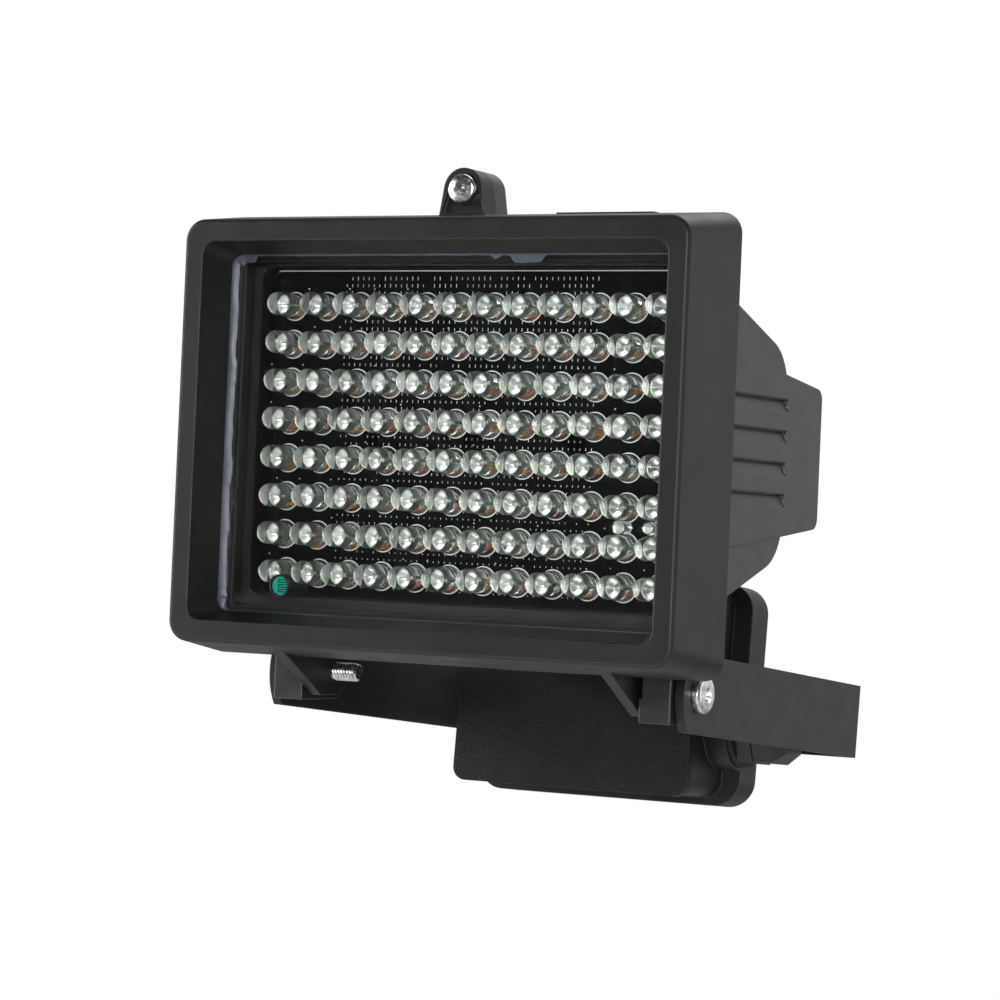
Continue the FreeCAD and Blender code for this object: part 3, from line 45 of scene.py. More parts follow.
LAMP = Matrix.Translation((0, -123.471, 46.236)) @ Matrix.Rotation(NOSE_DOWN, 4, "X")
BOX = Matrix.Translation((0, -46.080, -4.211))

PANE_FACE = 8.97      # front face of the pane, behind the lamp's front face
BOARD = 22.0          # face of the LED board
PRINT = 0.03          # height of the print on the board, and of the painted highlight along its upper edge
PITCH = 8.0
COLUMNS = 12
ROWS = 8
LED_LEFT = -44.0
LED_TOP = 27.45


# Mesh building.

class Drawing:
    """Collects points and faces, each face with the number of its material."""

    def __init__(self):
        self.points = []
        self.faces = []
        self.slots = []

    def add(self, points, faces, slot=0):
        first = len(self.points)
        self.points += [Vector(p) for p in points]
        for face in faces:
            self.faces.append([first + index for index in face])
            self.slots.append(slot)

    def turned(self, profile, place, segments=24, slot=0, cap_start=False, cap_end=False):
        """Turn (radius, height) pairs about an axis; place maps local points to the frame."""
        points = []
        faces = []
        for radius, height in profile:
            for step in range(segments):
                angle = 2 * math.pi * step / segments
                local = Vector((radius * math.cos(angle), radius * math.sin(angle), height))
                points.append(place @ local)
        for ring in range(len(profile) - 1):
            for step in range(segments):
                after = (step + 1) % segments
                low = ring * segments
                high = low + segments
                faces.append((low + step, low + after, high + after, high + step))
        if cap_start:
            faces.append(tuple(range(segments))[::-1])
        if cap_end:
            last = (len(profile) - 1) * segments
            faces.append(tuple(range(last, last + segments)))
        self.add(points, faces, slot)

    def box(self, low, high, place, slot=0):
        corners = [(x, y, z) for x in (low[0], high[0]) for y in (low[1], high[1])
                   for z in (low[2], high[2])]
        faces = [(0, 1, 3, 2), (4, 6, 7, 5), (0, 4, 5, 1), (2, 3, 7, 6), (0, 2, 6, 4),
                 (1, 5, 7, 3)]
        self.add([place @ Vector(corner) for corner in corners], faces, slot)

    def make(self, name, materials, sharp=35.0):
        mesh = bpy.data.meshes.new(name)
        mesh.from_pydata([point * MM for point in self.points], [], self.faces)
        for material in materials:
            mesh.materials.append(material)
        for face, slot in zip(mesh.polygons, self.slots):
            face.material_index = slot
        mesh.shade_smooth()
        mesh.set_sharp_from_angle(angle=math.radians(sharp))
        piece = bpy.data.objects.new(name, mesh)
        bpy.context.scene.collection.objects.link(piece)
        return piece


def facing_front(across, back, rise):
    """Local frame whose Z points out of the front, at a place in the lamp's frame."""
    return LAMP @ Matrix.Translation((across, back, rise)) @ Matrix.Rotation(math.pi / 2, 4, "X")


def facing_right(across, back, rise, side=1):
    """Local frame whose Z points to the right, or to the left with side -1."""
    turn = Matrix.Rotation(side * math.pi / 2, 4, "Y")
    return LAMP @ Matrix.Translation((across, back, rise)) @ turn


# Materials.

def new_material(name):
    made = bpy.data.materials.new(name)
    made.use_nodes = True
    tree = made.node_tree
    shader = tree.nodes["Principled BSDF"]
    return made, tree, shader


def noise_node(tree, scale, detail=3.0, rough=0.5):
    """Noise in the object's own coordinates, in metres."""
    place = tree.nodes.new("ShaderNodeTexCoord")
    texture = tree.nodes.new("ShaderNodeTexNoise")
    texture.inputs["Scale"].default_value = scale
    texture.inputs["Detail"].default_value = detail
    texture.inputs["Roughness"].default_value = rough
    tree.links.new(place.outputs["Object"], texture.inputs["Vector"])
    return texture.outputs["Fac"]


def blend_colours(tree, factor, first, second):
    """Go from one colour to the other over the middle of a factor's range."""
    ramp = tree.nodes.new("ShaderNodeValToRGB")
    for stop, position, colour in zip(ramp.color_ramp.elements, (0.35, 0.65), (first, second)):
        stop.position = position
        stop.color = (*colour, 1)
    tree.links.new(factor, ramp.inputs["Fac"])
    return ramp.outputs["Color"]


def spread(tree, factor, low, high, start=0.3, end=0.7):
    """Map a factor from start...end to low...high."""
    mapped = tree.nodes.new("ShaderNodeMapRange")
    mapped.inputs["From Min"].default_value = start
    mapped.inputs["From Max"].default_value = end
    mapped.inputs["To Min"].default_value = low
    mapped.inputs["To Max"].default_value = high
    tree.links.new(factor, mapped.inputs["Value"])
    return mapped.outputs["Result"]


def maths(tree, operation, first, second):
    """Result of a math node; the second value is a socket or a plain number."""
    node = tree.nodes.new("ShaderNodeMath")
    node.operation = operation
    tree.links.new(first, node.inputs[0])
    if isinstance(second, float):
        node.inputs[1].default_value = second
    else:
        tree.links.new(second, node.inputs[1])
    return node.outputs["Value"]


def mix_surface(tree, factor, first, second, output="Material Output"):
    """Send a mix of two shaders to the output."""
    mix = tree.nodes.new("ShaderNodeMixShader")
    tree.links.new(factor, mix.inputs["Fac"])
    tree.links.new(first, mix.inputs[1])
    tree.links.new(second, mix.inputs[2])
    tree.links.new(mix.outputs["Shader"], tree.nodes[output].inputs["Surface"])


def bump(tree, shader, height, distance, edge=0.0):
    """Fine relief of a surface, and edges rounded by a radius if one is given."""
    node = tree.nodes.new("ShaderNodeBump")
    node.inputs["Distance"].default_value = distance
    tree.links.new(height, node.inputs["Height"])
    if edge:
        bevel = tree.nodes.new("ShaderNodeBevel")
        bevel.samples = 6
        bevel.inputs["Radius"].default_value = edge
        tree.links.new(bevel.outputs["Normal"], node.inputs["Normal"])
    tree.links.new(node.outputs["Normal"], shader.inputs["Normal"])


def highlit_and_worn_edges(tree, colour, radius, highlight_and_wear_colour):
    """Lighter colour along outer edges, broken up by noise: a painted highlight along the edges,
    and wear where handling thins the coat.
    """
    rounded = tree.nodes.new("ShaderNodeBevel")
    rounded.samples = 4
    rounded.inputs["Radius"].default_value = radius
    surface = tree.nodes.new("ShaderNodeNewGeometry")
    turn = tree.nodes.new("ShaderNodeVectorMath")
    turn.operation = "DOT_PRODUCT"
    tree.links.new(rounded.outputs["Normal"], turn.inputs[0])
    tree.links.new(surface.outputs["Normal"], turn.inputs[1])
    edge = spread(tree, turn.outputs["Value"], 1.0, 0.0, 0.78, 0.97)
    patchy = spread(tree, noise_node(tree, 240.0, 4.0), 0.3, 1.0, 0.4, 0.6)
    mix = tree.nodes.new("ShaderNodeMix")
    mix.data_type = "RGBA"
    mix.inputs["B"].default_value = (*highlight_and_wear_colour, 1)
    tree.links.new(maths(tree, "MULTIPLY", edge, patchy), mix.inputs["Factor"])
    tree.links.new(colour, mix.inputs["A"])
    return mix.outputs["Result"]


def coated(name, dark, light, rough, grain, depth, edge=0.0, specular=0.5):
    """Painted, moulded or rubbery surface: patchy colour, patchy gloss and a fine grain."""
    made, tree, shader = new_material(name)
    patches = noise_node(tree, 45.0, 4.0)
    colour = blend_colours(tree, patches, dark, light)
    # Lighter outer edges: a painted highlight along the edges, and wear.
    if edge:
        colour = highlit_and_worn_edges(tree, colour, 0.8 * edge, [min(1.0, 6 * c + 0.02) for c in light])
    tree.links.new(colour, shader.inputs["Base Color"])
    gloss = noise_node(tree, 160.0, 3.0)
    tree.links.new(spread(tree, gloss, rough[0], rough[1]), shader.inputs["Roughness"])
    bump(tree, shader, noise_node(tree, grain, 2.0), depth, edge=edge)
    shader.inputs["Specular IOR Level"].default_value = specular
    return made


def clear(name, tint, rough):
    """Clear moulded epoxy with faint flow marks, which lets lamp light in to its metal."""
    made, tree, shader = new_material(name)
    marks = noise_node(tree, 900.0, 3.0)
    tree.links.new(blend_colours(tree, marks, tint, [min(1.0, c + 0.04) for c in tint]),
                   shader.inputs["Base Color"])
    tree.links.new(spread(tree, marks, rough, rough * 2.5), shader.inputs["Roughness"])
    bump(tree, shader, noise_node(tree, 500.0, 2.0), 0.00003)
    shader.inputs["Transmission Weight"].default_value = 0.977
    shader.inputs["IOR"].default_value = 1.5
    through = tree.nodes.new("ShaderNodeBsdfTransparent")
    through.inputs["Color"].default_value = (0.82, 0.84, 0.80, 1)
    path = tree.nodes.new("ShaderNodeLightPath")
    mix_surface(tree, path.outputs["Is Shadow Ray"], shader.outputs["BSDF"],
                through.outputs["BSDF"])
    return made


def pane(name):
    """Flat glass with faint smears: see-through, and by Schlick's rule a mirror when steep."""
    made, tree, shader = new_material(name)
    tree.nodes.remove(shader)
    smears = noise_node(tree, 60.0, 3.0)
    mirror = tree.nodes.new("ShaderNodeBsdfGlossy")
    mirror.inputs["Color"].default_value = (1, 1, 1, 1)
    tree.links.new(spread(tree, smears, 0.01, 0.04), mirror.inputs["Roughness"])
    see_through = tree.nodes.new("ShaderNodeBsdfTransparent")
    see_through.inputs["Color"].default_value = (0.97, 0.985, 0.98, 1)
    slant = tree.nodes.new("ShaderNodeLayerWeight")
    steep = maths(tree, "POWER", slant.outputs["Facing"], 5.0)
    mix_surface(tree, spread(tree, steep, 0.034, 1.0, 0.0, 1.0), see_through.outputs["BSDF"],
                mirror.outputs["BSDF"])
    return made


def metal(name, dark, light, rough):
    """Plated metal with stains that change its colour and its gloss."""
    made, tree, shader = new_material(name)
    stains = noise_node(tree, 700.0, 4.0, 0.6)
    tree.links.new(blend_colours(tree, stains, dark, light), shader.inputs["Base Color"])
    tree.links.new(spread(tree, stains, rough[0], rough[1]), shader.inputs["Roughness"])
    bump(tree, shader, noise_node(tree, 2500.0, 2.0), 0.00002)
    shader.inputs["Metallic"].default_value = 1.0
    return made


coat = coated("black_coat", (0.008, 0.0077, 0.0075), (0.012, 0.0115, 0.0112), (0.40, 0.48), 2200.0,
              0.000012, edge=0.0005, specular=0.48)
# Lit copy of the black coat for the housing: its colour is painted lighter and its gloss raised,
# so that the housing renders brighter.
lit_housing_coat = coated("black_coat_lit_copy_for_housing", (0.010, 0.0097, 0.0095), (0.014, 0.0135, 0.0132),
                   (0.33, 0.42), 2200.0, 0.000012, edge=0.0005, specular=0.85)
coat_steel = coated("black_coat_on_steel", (0.010, 0.0096, 0.0096), (0.014, 0.0134, 0.0134),
                    (0.42, 0.50), 2000.0, 0.000012, edge=0.0003, specular=0.44)
textured = coated("textured_plastic", (0.0045, 0.005, 0.0058), (0.0075, 0.008, 0.009),
                  (0.34, 0.55), 2400.0, 0.0003, edge=0.0003, specular=0.26)
smooth_box = coated("smooth_plastic", (0.010, 0.010, 0.0105), (0.014, 0.014, 0.0145),
                    (0.40, 0.50), 1500.0, 0.00001, edge=0.0004, specular=0.4)
gland_black = coated("gland_plastic", (0.012, 0.012, 0.012), (0.017, 0.017, 0.017),
                     (0.36, 0.48), 1200.0, 0.00002, edge=0.0003)
rubber = coated("black_rubber", (0.008, 0.008, 0.008), (0.012, 0.012, 0.012), (0.55, 0.7),
                1800.0, 0.00003)
mask_black = coated("solder_mask", (0.0012, 0.0018, 0.0021), (0.0022, 0.003, 0.0035),
                    (0.22, 0.32), 900.0, 0.00001, specular=0.25)
silicone = coated("silicone", (0.045, 0.058, 0.08), (0.083, 0.10, 0.132), (0.3, 0.45), 350.0,
                  0.0001)
# White of the print, also used for the painted highlight along the board's upper edge.
print_and_highlight_white = coated("silkscreen_and_painted_highlight", (0.86, 0.87, 0.86), (0.93, 0.94, 0.93), (0.5, 0.6), 3000.0,
                     0.00001)
sleeve = coated("black_sleeve", (0.02, 0.02, 0.021), (0.03, 0.03, 0.031), (0.3, 0.4),
                2500.0, 0.00001, edge=0.0003)
sensor_green = coated("sensor_green", (0.015, 0.50, 0.37), (0.02, 0.62, 0.45), (0.2, 0.3),
                      1500.0, 0.00001)
sensor_track = coated("sensor_track", (0.002, 0.02, 0.016), (0.004, 0.03, 0.024), (0.2, 0.3),
                      1500.0, 0.00001)
copper = coated("copper_spot", (0.62, 0.13, 0.02), (0.85, 0.30, 0.05), (0.3, 0.4), 2500.0,
                0.00002)
zinc = metal("bright_zinc", (0.50, 0.52, 0.53), (0.93, 0.94, 0.93), (0.14, 0.36))
silver = metal("lead_frame", (0.58, 0.60, 0.57), (0.82, 0.83, 0.81), (0.24, 0.42))
dull_silver = metal("lead_post", (0.20, 0.21, 0.20), (0.42, 0.43, 0.41), (0.34, 0.5))
epoxy = clear("clear_epoxy", (0.93, 0.95, 0.91), 0.015)
glass = pane("window_glass")
white_plastic = coated("connector_plastic", (0.62, 0.61, 0.57), (0.7, 0.69, 0.65), (0.4, 0.5),
                       1500.0, 0.00002)
green_plastic = coated("terminal_plastic", (0.02, 0.12, 0.04), (0.03, 0.15, 0.05), (0.4, 0.5),
                       1500.0, 0.00002)
tape = coated("transformer_tape", (0.55, 0.40, 0.06), (0.65, 0.48, 0.09), (0.3, 0.45), 900.0,
              0.00003)
shrink = coated("capacitor_sleeve", (0.01, 0.012, 0.03), (0.014, 0.018, 0.045), (0.2, 0.3),
                900.0, 0.00001)
jacket = coated("lead_jacket", (0.02, 0.02, 0.02), (0.028, 0.028, 0.028), (0.3, 0.4), 900.0,
                0.00001)

FINISHES = {
    "housing": lit_housing_coat, "front_frame": coat, "bracket": coat_steel, "front_glass": glass,
    "frame_gasket": rubber, "box_seal": rubber, "nipple_seal": rubber, "gland_washer": rubber,
    "gland_insert": rubber, "led_board": mask_black, "power_board": mask_black,
    "photocell_holder": sleeve, "box_base": textured, "box_body": smooth_box,
    "gland_body": gland_black, "gland_nut": gland_black, "gland_locknut": gland_black,
    "nipple": zinc, "nipple_nuts": zinc, "power_board_screws": zinc,
    "board_connector": white_plastic, "terminal_block": green_plastic, "board_lead": jacket,
    "transformer": tape, "capacitor": shrink,
}
for name, finish in FINISHES.items():
    for slot in nodes[name].material_slots:
        slot.material = finish


# Infrared LEDs.

def led_centres(row):
    """Places of a row's LEDs; the photocell pushes two of the last row aside."""
    centres = []
    for column in range(COLUMNS):
        across = LED_LEFT + PITCH * column
        if row == ROWS - 1 and column < 2:
            across += 0.8
        centres.append((across, LED_TOP - PITCH * row))
    return centres


# (radius, height above the board) of a 5 mm LED: flange, side with moulding ridges, dome.
LED_BODY = [(2.72, 0.02), (2.80, 0.15), (2.80, 0.85), (2.68, 1.0), (2.52, 1.06), (2.46, 1.3)]
for step in range(7):
    LED_BODY.append((2.48 if step % 2 else 2.36, 1.6 + 0.5 * step))
LED_BODY += [(2.46, 5.2), (2.46, 6.5)]
for step in range(1, 8):
    angle = math.radians(90 * step / 8)
    LED_BODY.append((2.46 * math.cos(angle), 6.5 + 2.46 * math.sin(angle)))
LED_BODY.append((0.05, 8.96))

# Metal inside: the cup's profile, and (low corner, high corner, material) of the plain pieces.
CUP = [(0.5, 3.6), (0.7, 4.3), (1.02, 5.2), (0.92, 5.2), (0.42, 4.65)]
SILVER, COPPER, DULL = 0, 1, 2
LEAD_FRAME = [
    ((-1.7, -0.3, 0.6), (0.5, 0.3, 3.7), SILVER),
    ((1.12, -0.28, 0.6), (1.8, 0.28, 4.9), SILVER),
    ((-1.85, -0.7, 1.0), (-1.2, 0.75, 4.9), DULL),
    ((-1.5, -0.25, 0.1), (-1.0, 0.25, 0.6), SILVER),
    ((1.05, -0.25, 0.1), (1.55, 0.25, 0.6), SILVER),
    ((-0.9, -0.06, 5.15), (1.3, 0.06, 5.3), SILVER),
]


def make_leds(row, chance):
    """One row of LEDs: clear bodies, and the metal and copper that show inside them."""
    bodies = Drawing()
    metal_work = Drawing()
    for across, rise in led_centres(row):
        place = facing_front(across, BOARD, rise)
        turn = Matrix.Rotation(chance.uniform(-0.12, 0.12), 4, "Z")
        tilt = Matrix.Rotation(chance.uniform(-0.02, 0.02), 4, "X")
        place = place @ tilt @ turn
        bodies.turned(LED_BODY, place, 28, cap_start=True, cap_end=True)
        metal_work.turned(CUP, place, 14, cap_end=True)
        for low, high, slot in LEAD_FRAME:
            metal_work.box(low, high, place, slot)
        side = chance.uniform(-0.5, 0.7)
        level = chance.uniform(-1.6, -0.7)
        size = chance.uniform(0.3, 0.7)
        metal_work.box((side, level, 0.1), (side + size, level + size, 1.4), place, COPPER)
    label = "ir_leds_%d" % (row + 1)
    shells = bodies.make(label, [epoxy], 50.0)
    inner = metal_work.make(label + "_frames", [silver, copper, dull_silver])
    for piece in (shells, inner):
        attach(piece, "lamp")
        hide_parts("ir_led_row_%d" % (row + 1))


chance = random.Random(7)
for row in range(ROWS):
    make_leds(row, chance)


# Print on the board, and a painted highlight along its upper edge.

def add_ring(drawing, inner, outer, place, segments=32):
    points = []
    for radius in (inner, outer):
        for step in range(segments):
            angle = 2 * math.pi * step / segments
            points.append(place @ Vector((radius * math.cos(angle), radius * math.sin(angle),
                                          PRINT)))
    faces = [(step, segments + step, segments + (step + 1) % segments, (step + 1) % segments)
             for step in range(segments)]
    drawing.add(points, faces)


def add_mark(drawing, across, rise, width, height):
    place = facing_front(across, BOARD, rise)
    corners = [(-width / 2, -height / 2, PRINT), (width / 2, -height / 2, PRINT),
               (width / 2, height / 2, PRINT), (-width / 2, height / 2, PRINT)]
    drawing.add([place @ Vector(corner) for corner in corners], [(0, 1, 2, 3)])


print_and_edge_highlight = Drawing()
for row in range(ROWS):
    for across, rise in led_centres(row):
        add_ring(print_and_edge_highlight, 2.84, 3.06, facing_front(across, BOARD, rise))
        if chance.random() < 0.3:
            add_mark(print_and_edge_highlight, across - chance.uniform(2.5, 5.5), rise + 3.7, 0.26, 0.26)
# Short dashes in lines, shorter towards the bottom, wherever no LED stands.
for line in range(44):
    level = LED_TOP + 5.9 - 1.5 * line
    length = 0.75 - 0.011 * line
    for column in range(46):
        across = LED_LEFT + 12.6 + 1.31 * column
        free = all(math.hypot(across - x, level - z) > 3.3
                   for row in range(ROWS) for x, z in led_centres(row))
        if free and across < 49.0 and chance.random() > 0.1:
            add_mark(print_and_edge_highlight, across, level, 0.13, length * chance.uniform(0.7, 1.1))
# White line along the board's upper edge: a painted highlight of the edge, drawn like the print.
add_mark(print_and_edge_highlight, -1.1, 34.95, 94.4, 0.22)
board_print_and_edge_highlight = print_and_edge_highlight.make("board_print_and_edge_highlight", [print_and_highlight_white])
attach(board_print_and_edge_highlight, "lamp")


# Silicone around the pane.

def rounded_outline(half_width, half_height, corner, step):
    """Points and outward directions around a rounded rectangle."""
    spots = []
    for turn, (side, level) in enumerate(((1, 1), (-1, 1), (-1, -1), (1, -1))):
        centre = Vector((side * (half_width - corner), level * (half_height - corner)))
        for part in range(7):
            angle = math.pi / 2 * (turn + part / 6)
            out = Vector((math.cos(angle), math.sin(angle)))
            spots.append((centre + corner * out, out))
    path = []
    for index, (spot, out) in enumerate(spots):
        after, after_out = spots[(index + 1) % len(spots)]
        count = max(1, round((after - spot).length / step))
        for part in range(count):
            share = part / count
            path.append((spot.lerp(after, share), out.lerp(after_out, share).normalized()))
    return path


def bulge(place, start, end, slope):
    """Share from 0 outside a stretch to 1 in its middle, with slopes at both ends."""
    share = max(0.0, min(1.0, min(place - start, end - place) / slope))
    return share * share * (3 - 2 * share)


def make_bead():
    """Bead of silicone between pane and recess, wide at the left, smeared along the top."""
    drawing = Drawing()
    path = rounded_outline(51.32, 37.12, 2.6, 0.45)
    profile = ((0.0, 1.0), (0.25, 0.92), (0.55, 0.62), (0.85, 0.25), (1.0, 0.0))
    points = []
    for spot, out in path:
        wave = noise.noise(Vector((spot.x * 0.22, spot.y * 0.22, 3.0)))
        ripple = noise.noise(Vector((spot.x * 0.9, spot.y * 0.9, 8.0)))
        along = max(0.0, -out.x)
        width = 0.22 + 0.08 * max(0.0, out.y) + 1.35 * along
        width += (0.1 + 0.3 * along) * wave + (0.06 + 0.2 * along) * ripple
        if spot.y > 33:
            width += bulge(spot.x, -51.0, -45.5, 0.8) * (1.5 + 0.5 * ripple)
            width += bulge(spot.x, 13.8, 22.4, 1.6) * 1.5
            width += bulge(spot.x, 9.2, 12.6, 1.6) * (0.7 + 0.4 * ripple)
        height = 0.3 + 0.35 * along + 0.1 * ripple
        for share, level in profile:
            inward = spot - out * width * share
            points.append(LAMP @ Vector((inward.x, PANE_FACE - height * level, inward.y)))
    count = len(profile)
    faces = []
    for index in range(len(path)):
        start = index * count
        after = (index + 1) % len(path) * count
        for part in range(count - 1):
            faces.append((start + part, after + part, after + part + 1, start + part + 1))
    drawing.add(points, faces)
    bead = drawing.make("silicone_bead", [silicone], 80.0)
    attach(bead, "lamp")
    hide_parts("glass_seal")


make_bead()


# Screws.

def pan_head(radius, height):
    """Profile of a pan head from its rim to its crown."""
    profile = [(radius, 0.0), (radius, 0.45 * height)]
    for part in range(1, 6):
        angle = math.radians(90 * part / 6)
        profile.append((radius * (0.74 + 0.26 * math.cos(angle)),
                        height * (0.45 + 0.43 * math.sin(angle))))
    profile += [(0.72 * radius, 0.88 * height), (0.5 * radius, 0.97 * height),
                (0.3 * radius, height)]
    return profile


def cross_tool(radius, top, depth):
    """Tapered cross that cuts a screw's recess."""
    drawing = Drawing()
    reach = 0.56 * radius
    for turn in (0.0, math.pi / 2):
        place = Matrix.Rotation(turn, 4, "Z")
        wide = 0.19 * radius
        outline = [(-reach, wide), (reach, wide), (reach, -wide), (-reach, -wide)]
        points = [place @ Vector((x, y, top + 1.0)) for x, y in outline]
        points += [place @ Vector((0.35 * x, 0.6 * y, top - depth)) for x, y in outline]
        faces = [(3, 2, 1, 0), (4, 5, 6, 7), (0, 1, 5, 4), (1, 2, 6, 5), (2, 3, 7, 6),
                 (3, 0, 4, 7)]
        drawing.add(points, faces)
    return drawing


def head_mesh(radius, height, spin):
    """Pan head with its cross recess cut, as a mesh in its own frame."""
    head = Drawing()
    head.turned(pan_head(radius, height), Matrix.Identity(4), 40, cap_start=True, cap_end=True)
    solid = head.make("head", [zinc])
    tool = cross_tool(radius, height, 0.75 * height).make("cross", [zinc])
    tool.rotation_euler = (0, 0, spin)
    cut = solid.modifiers.new("recess", "BOOLEAN")
    cut.operation = "DIFFERENCE"
    cut.solver = "EXACT"
    cut.use_self = True
    cut.object = tool
    bpy.context.view_layer.update()
    ready = solid.evaluated_get(bpy.context.evaluated_depsgraph_get())
    mesh = bpy.data.meshes.new_from_object(ready)
    for helper in (solid, tool):
        bpy.data.objects.remove(helper)
    return mesh


def shank(drawing, radius, length, pitch, place):
    """Threaded shank below a head, along local -Z, with a real helix."""
    segments = 24
    per_turn = 6
    count = int(length / pitch * per_turn)
    points = []
    for ring in range(count + 1):
        depth = length * ring / count
        for step in range(segments):
            angle = 2 * math.pi * step / segments
            phase = (depth / pitch + step / segments) % 1.0
            ridge = abs(2 * phase - 1)
            local = radius - 0.42 * pitch * ridge
            if depth > length - 0.6:
                local -= 0.5 * (depth - length + 0.6)
            points.append(place @ Vector((local * math.cos(angle), local * math.sin(angle),
                                          -depth)))
    faces = []
    for ring in range(count):
        for step in range(segments):
            after = (step + 1) % segments
            low = ring * segments
            high = low + segments
            faces.append((low + step, high + step, high + after, low + after))
    faces.append(tuple(range(count * segments, (count + 1) * segments)))
    drawing.add(points, faces)


def make_screws(label, node, size, length, pitch, spots, spin):
    """Screws of one size as one piece; size is shank radius, head radius and head height."""
    shank_radius, head_radius, head_height = size
    body = Drawing()
    for place in spots:
        shank(body, shank_radius, length, pitch, place)
    piece = body.make(label, [zinc], 25.0)
    for number, place in enumerate(spots):
        head = head_mesh(head_radius, head_height, spin + 0.7 * number)
        head.transform(Matrix.Diagonal((MM, MM, MM, 1)).inverted())
        head.transform(place)
        head.transform(Matrix.Diagonal((MM, MM, MM, 1)))
        whole = bmesh.new()
        whole.from_mesh(piece.data)
        whole.from_mesh(head)
        whole.to_mesh(piece.data)
        whole.free()
    piece.data.shade_smooth()
    piece.data.set_sharp_from_angle(angle=math.radians(28))
    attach(piece, "lamp")
    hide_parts(node)
    return piece


PIVOT_FACE = 48.8     # outer face of the bracket's arms
PIVOT_BACK = 33.0
PIVOT_RISE = -49.3
make_screws("pivot_screw_pair", "pivot_screws", (1.98, 3.95, 1.9), 18.0, 0.7,
            [facing_right(PIVOT_FACE, PIVOT_BACK, PIVOT_RISE),
             facing_right(-PIVOT_FACE, PIVOT_BACK, PIVOT_RISE, -1)], 0.5)
make_screws("ear_screw", "frame_screw", (1.98, 3.25, 2.35), 9.0, 0.7,
            [facing_front(0.0, 14.6, 50.7)], 0.35)
BOX_SPOTS = []
for side in (-22.6, 22.6):
    for level in (-10.0, 24.4):
        turn = Matrix.Rotation(-math.pi / 2, 4, "X")
        BOX_SPOTS.append(BOX @ Matrix.Translation((side, 24.7, level)) @ turn)
make_screws("box_screw_set", "box_screws", (1.48, 2.75, 1.95), 21.5, 0.5,
            BOX_SPOTS, 0.2)


# Small parts on the board.

def small_dome(label, node, across, rise, height):
    """Clear 3 mm dome with the metal inside it."""
    drawing = Drawing()
    place = facing_front(across, BOARD, rise)
    profile = [(1.44, 0.02), (1.44, 0.6), (1.36, 0.7), (1.36, height - 1.36)]
    for step in range(1, 6):
        angle = math.radians(90 * step / 6)
        profile.append((1.36 * math.cos(angle), height - 1.36 + 1.36 * math.sin(angle)))
    profile.append((0.04, height - 0.01))
    drawing.turned(profile, place, 24, cap_start=True, cap_end=True)
    piece = drawing.make(label, [epoxy], 50.0)
    core = Drawing()
    core.turned([(0.35, 0.1), (0.35, 0.45 * height), (0.75, 0.6 * height)], place, 12,
                cap_end=True)
    inner = core.make(label + "_core", [silver])
    for made in (piece, inner):
        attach(made, "lamp")
        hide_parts(node)


small_dome("indicator_dome", "indicator_led", 36.0, -16.55, 5.0)
small_dome("sensor_dome", "light_sensor", 42.0, -16.55, 3.4)


def make_photocell():
    """Green disc with its winding track: dark bars, joined at alternate ends."""
    drawing = Drawing()
    place = facing_front(-40.0, BOARD, -31.5)
    drawing.turned([(1.98, 0.02), (1.98, 7.3), (1.9, 7.42)], place, 40, cap_start=True,
                   cap_end=True)
    for number in range(6):
        level = -1.25 + 0.5 * number
        far = math.sqrt(1.8 ** 2 - level ** 2)
        drawing.box((-0.5, level - 0.1, 7.4), (far, level + 0.1, 7.47), place, 1)
        if number < 5:
            end = far - 0.16 if number % 2 else -0.5
            drawing.box((end, level, 7.4), (end + 0.16, level + 0.5, 7.46), place, 1)
    piece = drawing.make("photocell_face", [sensor_green, sensor_track])
    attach(piece, "lamp")
    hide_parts("photocell")


make_photocell()


# Floor, light and camera.

def make_floor():
    """Pale floor: most of what the camera sees of it is white, and the rest keeps shadows."""
    floor_mesh = bpy.data.meshes.new("floor")
    reach = 6.0
    floor_mesh.from_pydata([(-reach, -reach, 0), (reach, -reach, 0), (reach, reach, 0),
                            (-reach, reach, 0)], [], [(0, 1, 2, 3)])
    floor = bpy.data.objects.new("floor", floor_mesh)
    bpy.context.scene.collection.objects.link(floor)
    floor.location = (0, 0, -0.6)
    made, tree, shader = new_material("pale_floor")
    shade = noise_node(tree, 3.0)
    tree.links.new(blend_colours(tree, shade, (0.80, 0.80, 0.80), (0.82, 0.82, 0.82)),
                   shader.inputs["Base Color"])
    shader.inputs["Roughness"].default_value = 0.8
    glow = tree.nodes.new("ShaderNodeEmission")
    path = tree.nodes.new("ShaderNodeLightPath")
    share = maths(tree, "MULTIPLY", path.outputs["Is Camera Ray"], 0.8)
    mix_surface(tree, share, shader.outputs["BSDF"], glow.outputs["Emission"])
    floor_mesh.materials.append(made)


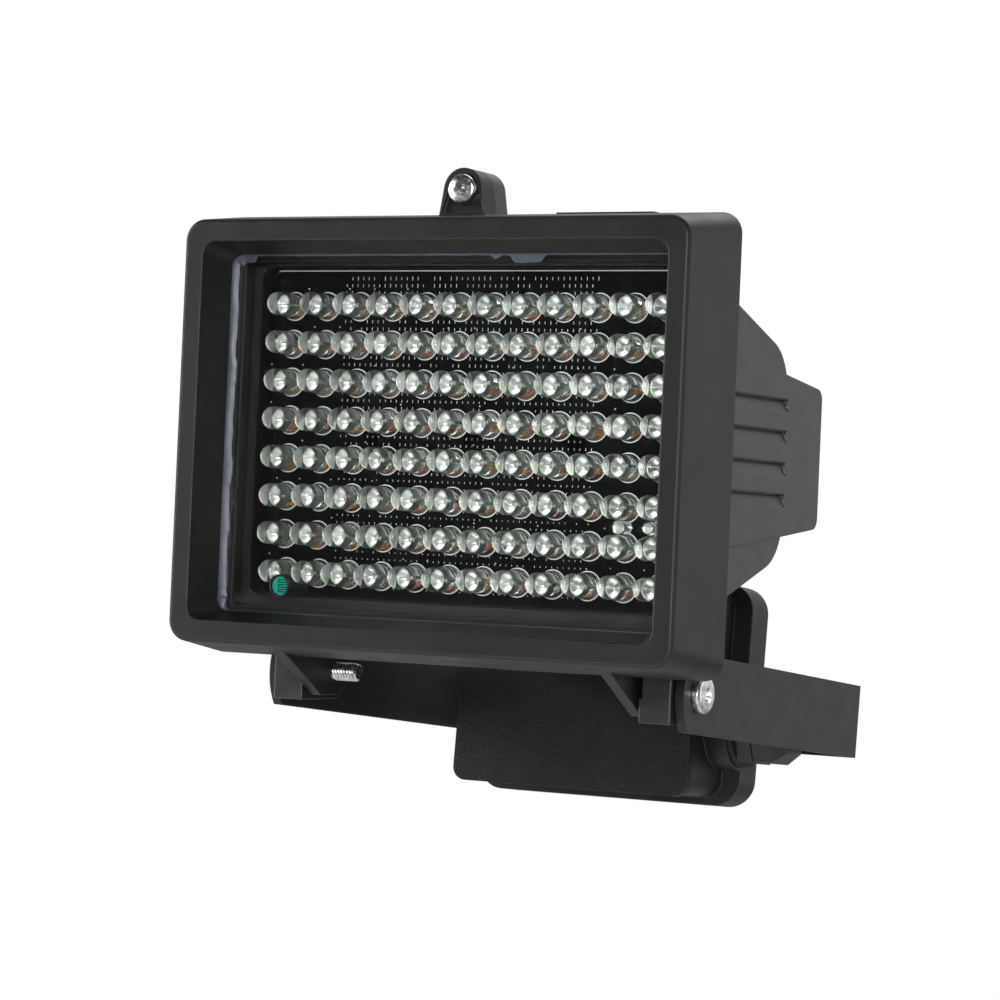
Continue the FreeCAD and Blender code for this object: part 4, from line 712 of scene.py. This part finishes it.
def make_world():
    """White to the camera and through clear epoxy, and a room that is dim at the front."""
    world = bpy.data.worlds.new("studio")
    bpy.context.scene.world = world
    world.use_nodes = True
    tree = world.node_tree
    back = tree.nodes["Background"]
    place = tree.nodes.new("ShaderNodeTexCoord")
    split = tree.nodes.new("ShaderNodeSeparateXYZ")
    tree.links.new(place.outputs["Generated"], split.inputs["Vector"])
    depth = spread(tree, split.outputs["Y"], 0.05, 0.62, -0.35, 0.75)
    white = tree.nodes.new("ShaderNodeBackground")
    white.inputs["Color"].default_value = (1, 1, 1, 1)
    tree.links.new(depth, back.inputs["Color"])
    path = tree.nodes.new("ShaderNodeLightPath")
    seen = maths(tree, "MAXIMUM", path.outputs["Is Camera Ray"],
                 path.outputs["Is Transmission Ray"])
    mix_surface(tree, seen, back.outputs["Background"], white.outputs["Background"],
                "World Output")


def softbox(name, place, target, width, height, power):
    """Area light of a given size in metres and power in watts, aimed at a target."""
    lamp = bpy.data.lights.new(name, "AREA")
    lamp.shape = "RECTANGLE"
    lamp.size = width
    lamp.size_y = height
    lamp.energy = power
    box = bpy.data.objects.new(name, lamp)
    bpy.context.scene.collection.objects.link(box)
    box.location = place
    direction = Vector(target) - Vector(place)
    box.rotation_euler = direction.to_track_quat("-Z", "Y").to_euler()


make_floor()
make_world()
softbox("softbox_front", (0.52, -1.27, 0.12), (0, -0.10, 0.04), 0.65, 0.65, 11.5)
softbox("softbox_left", (-1.15, -0.65, 0.10), (0, -0.08, 0.02), 0.6, 0.8, 8.5)
softbox("softbox_side", (1.10, 0.45, 0.15), (0, -0.05, 0.02), 0.6, 0.8, 1.6)
softbox("softbox_top", (0.1, 0.35, 1.1), (0, -0.06, 0.02), 0.9, 0.9, 6.0)

camera_data = bpy.data.cameras.new("camera")
camera_data.sensor_width = 36.0
camera_data.lens = 122.0523
camera_data.clip_start = 0.05
camera = bpy.data.objects.new("camera", camera_data)
camera.location = (0.3361175, -0.7048565, -0.0280183)
camera.rotation_euler = (1.6643663, -0.0853791, 0.4904835)
bpy.context.scene.collection.objects.link(camera)
bpy.context.scene.camera = camera
bpy.context.scene.view_settings.view_transform = "Standard"
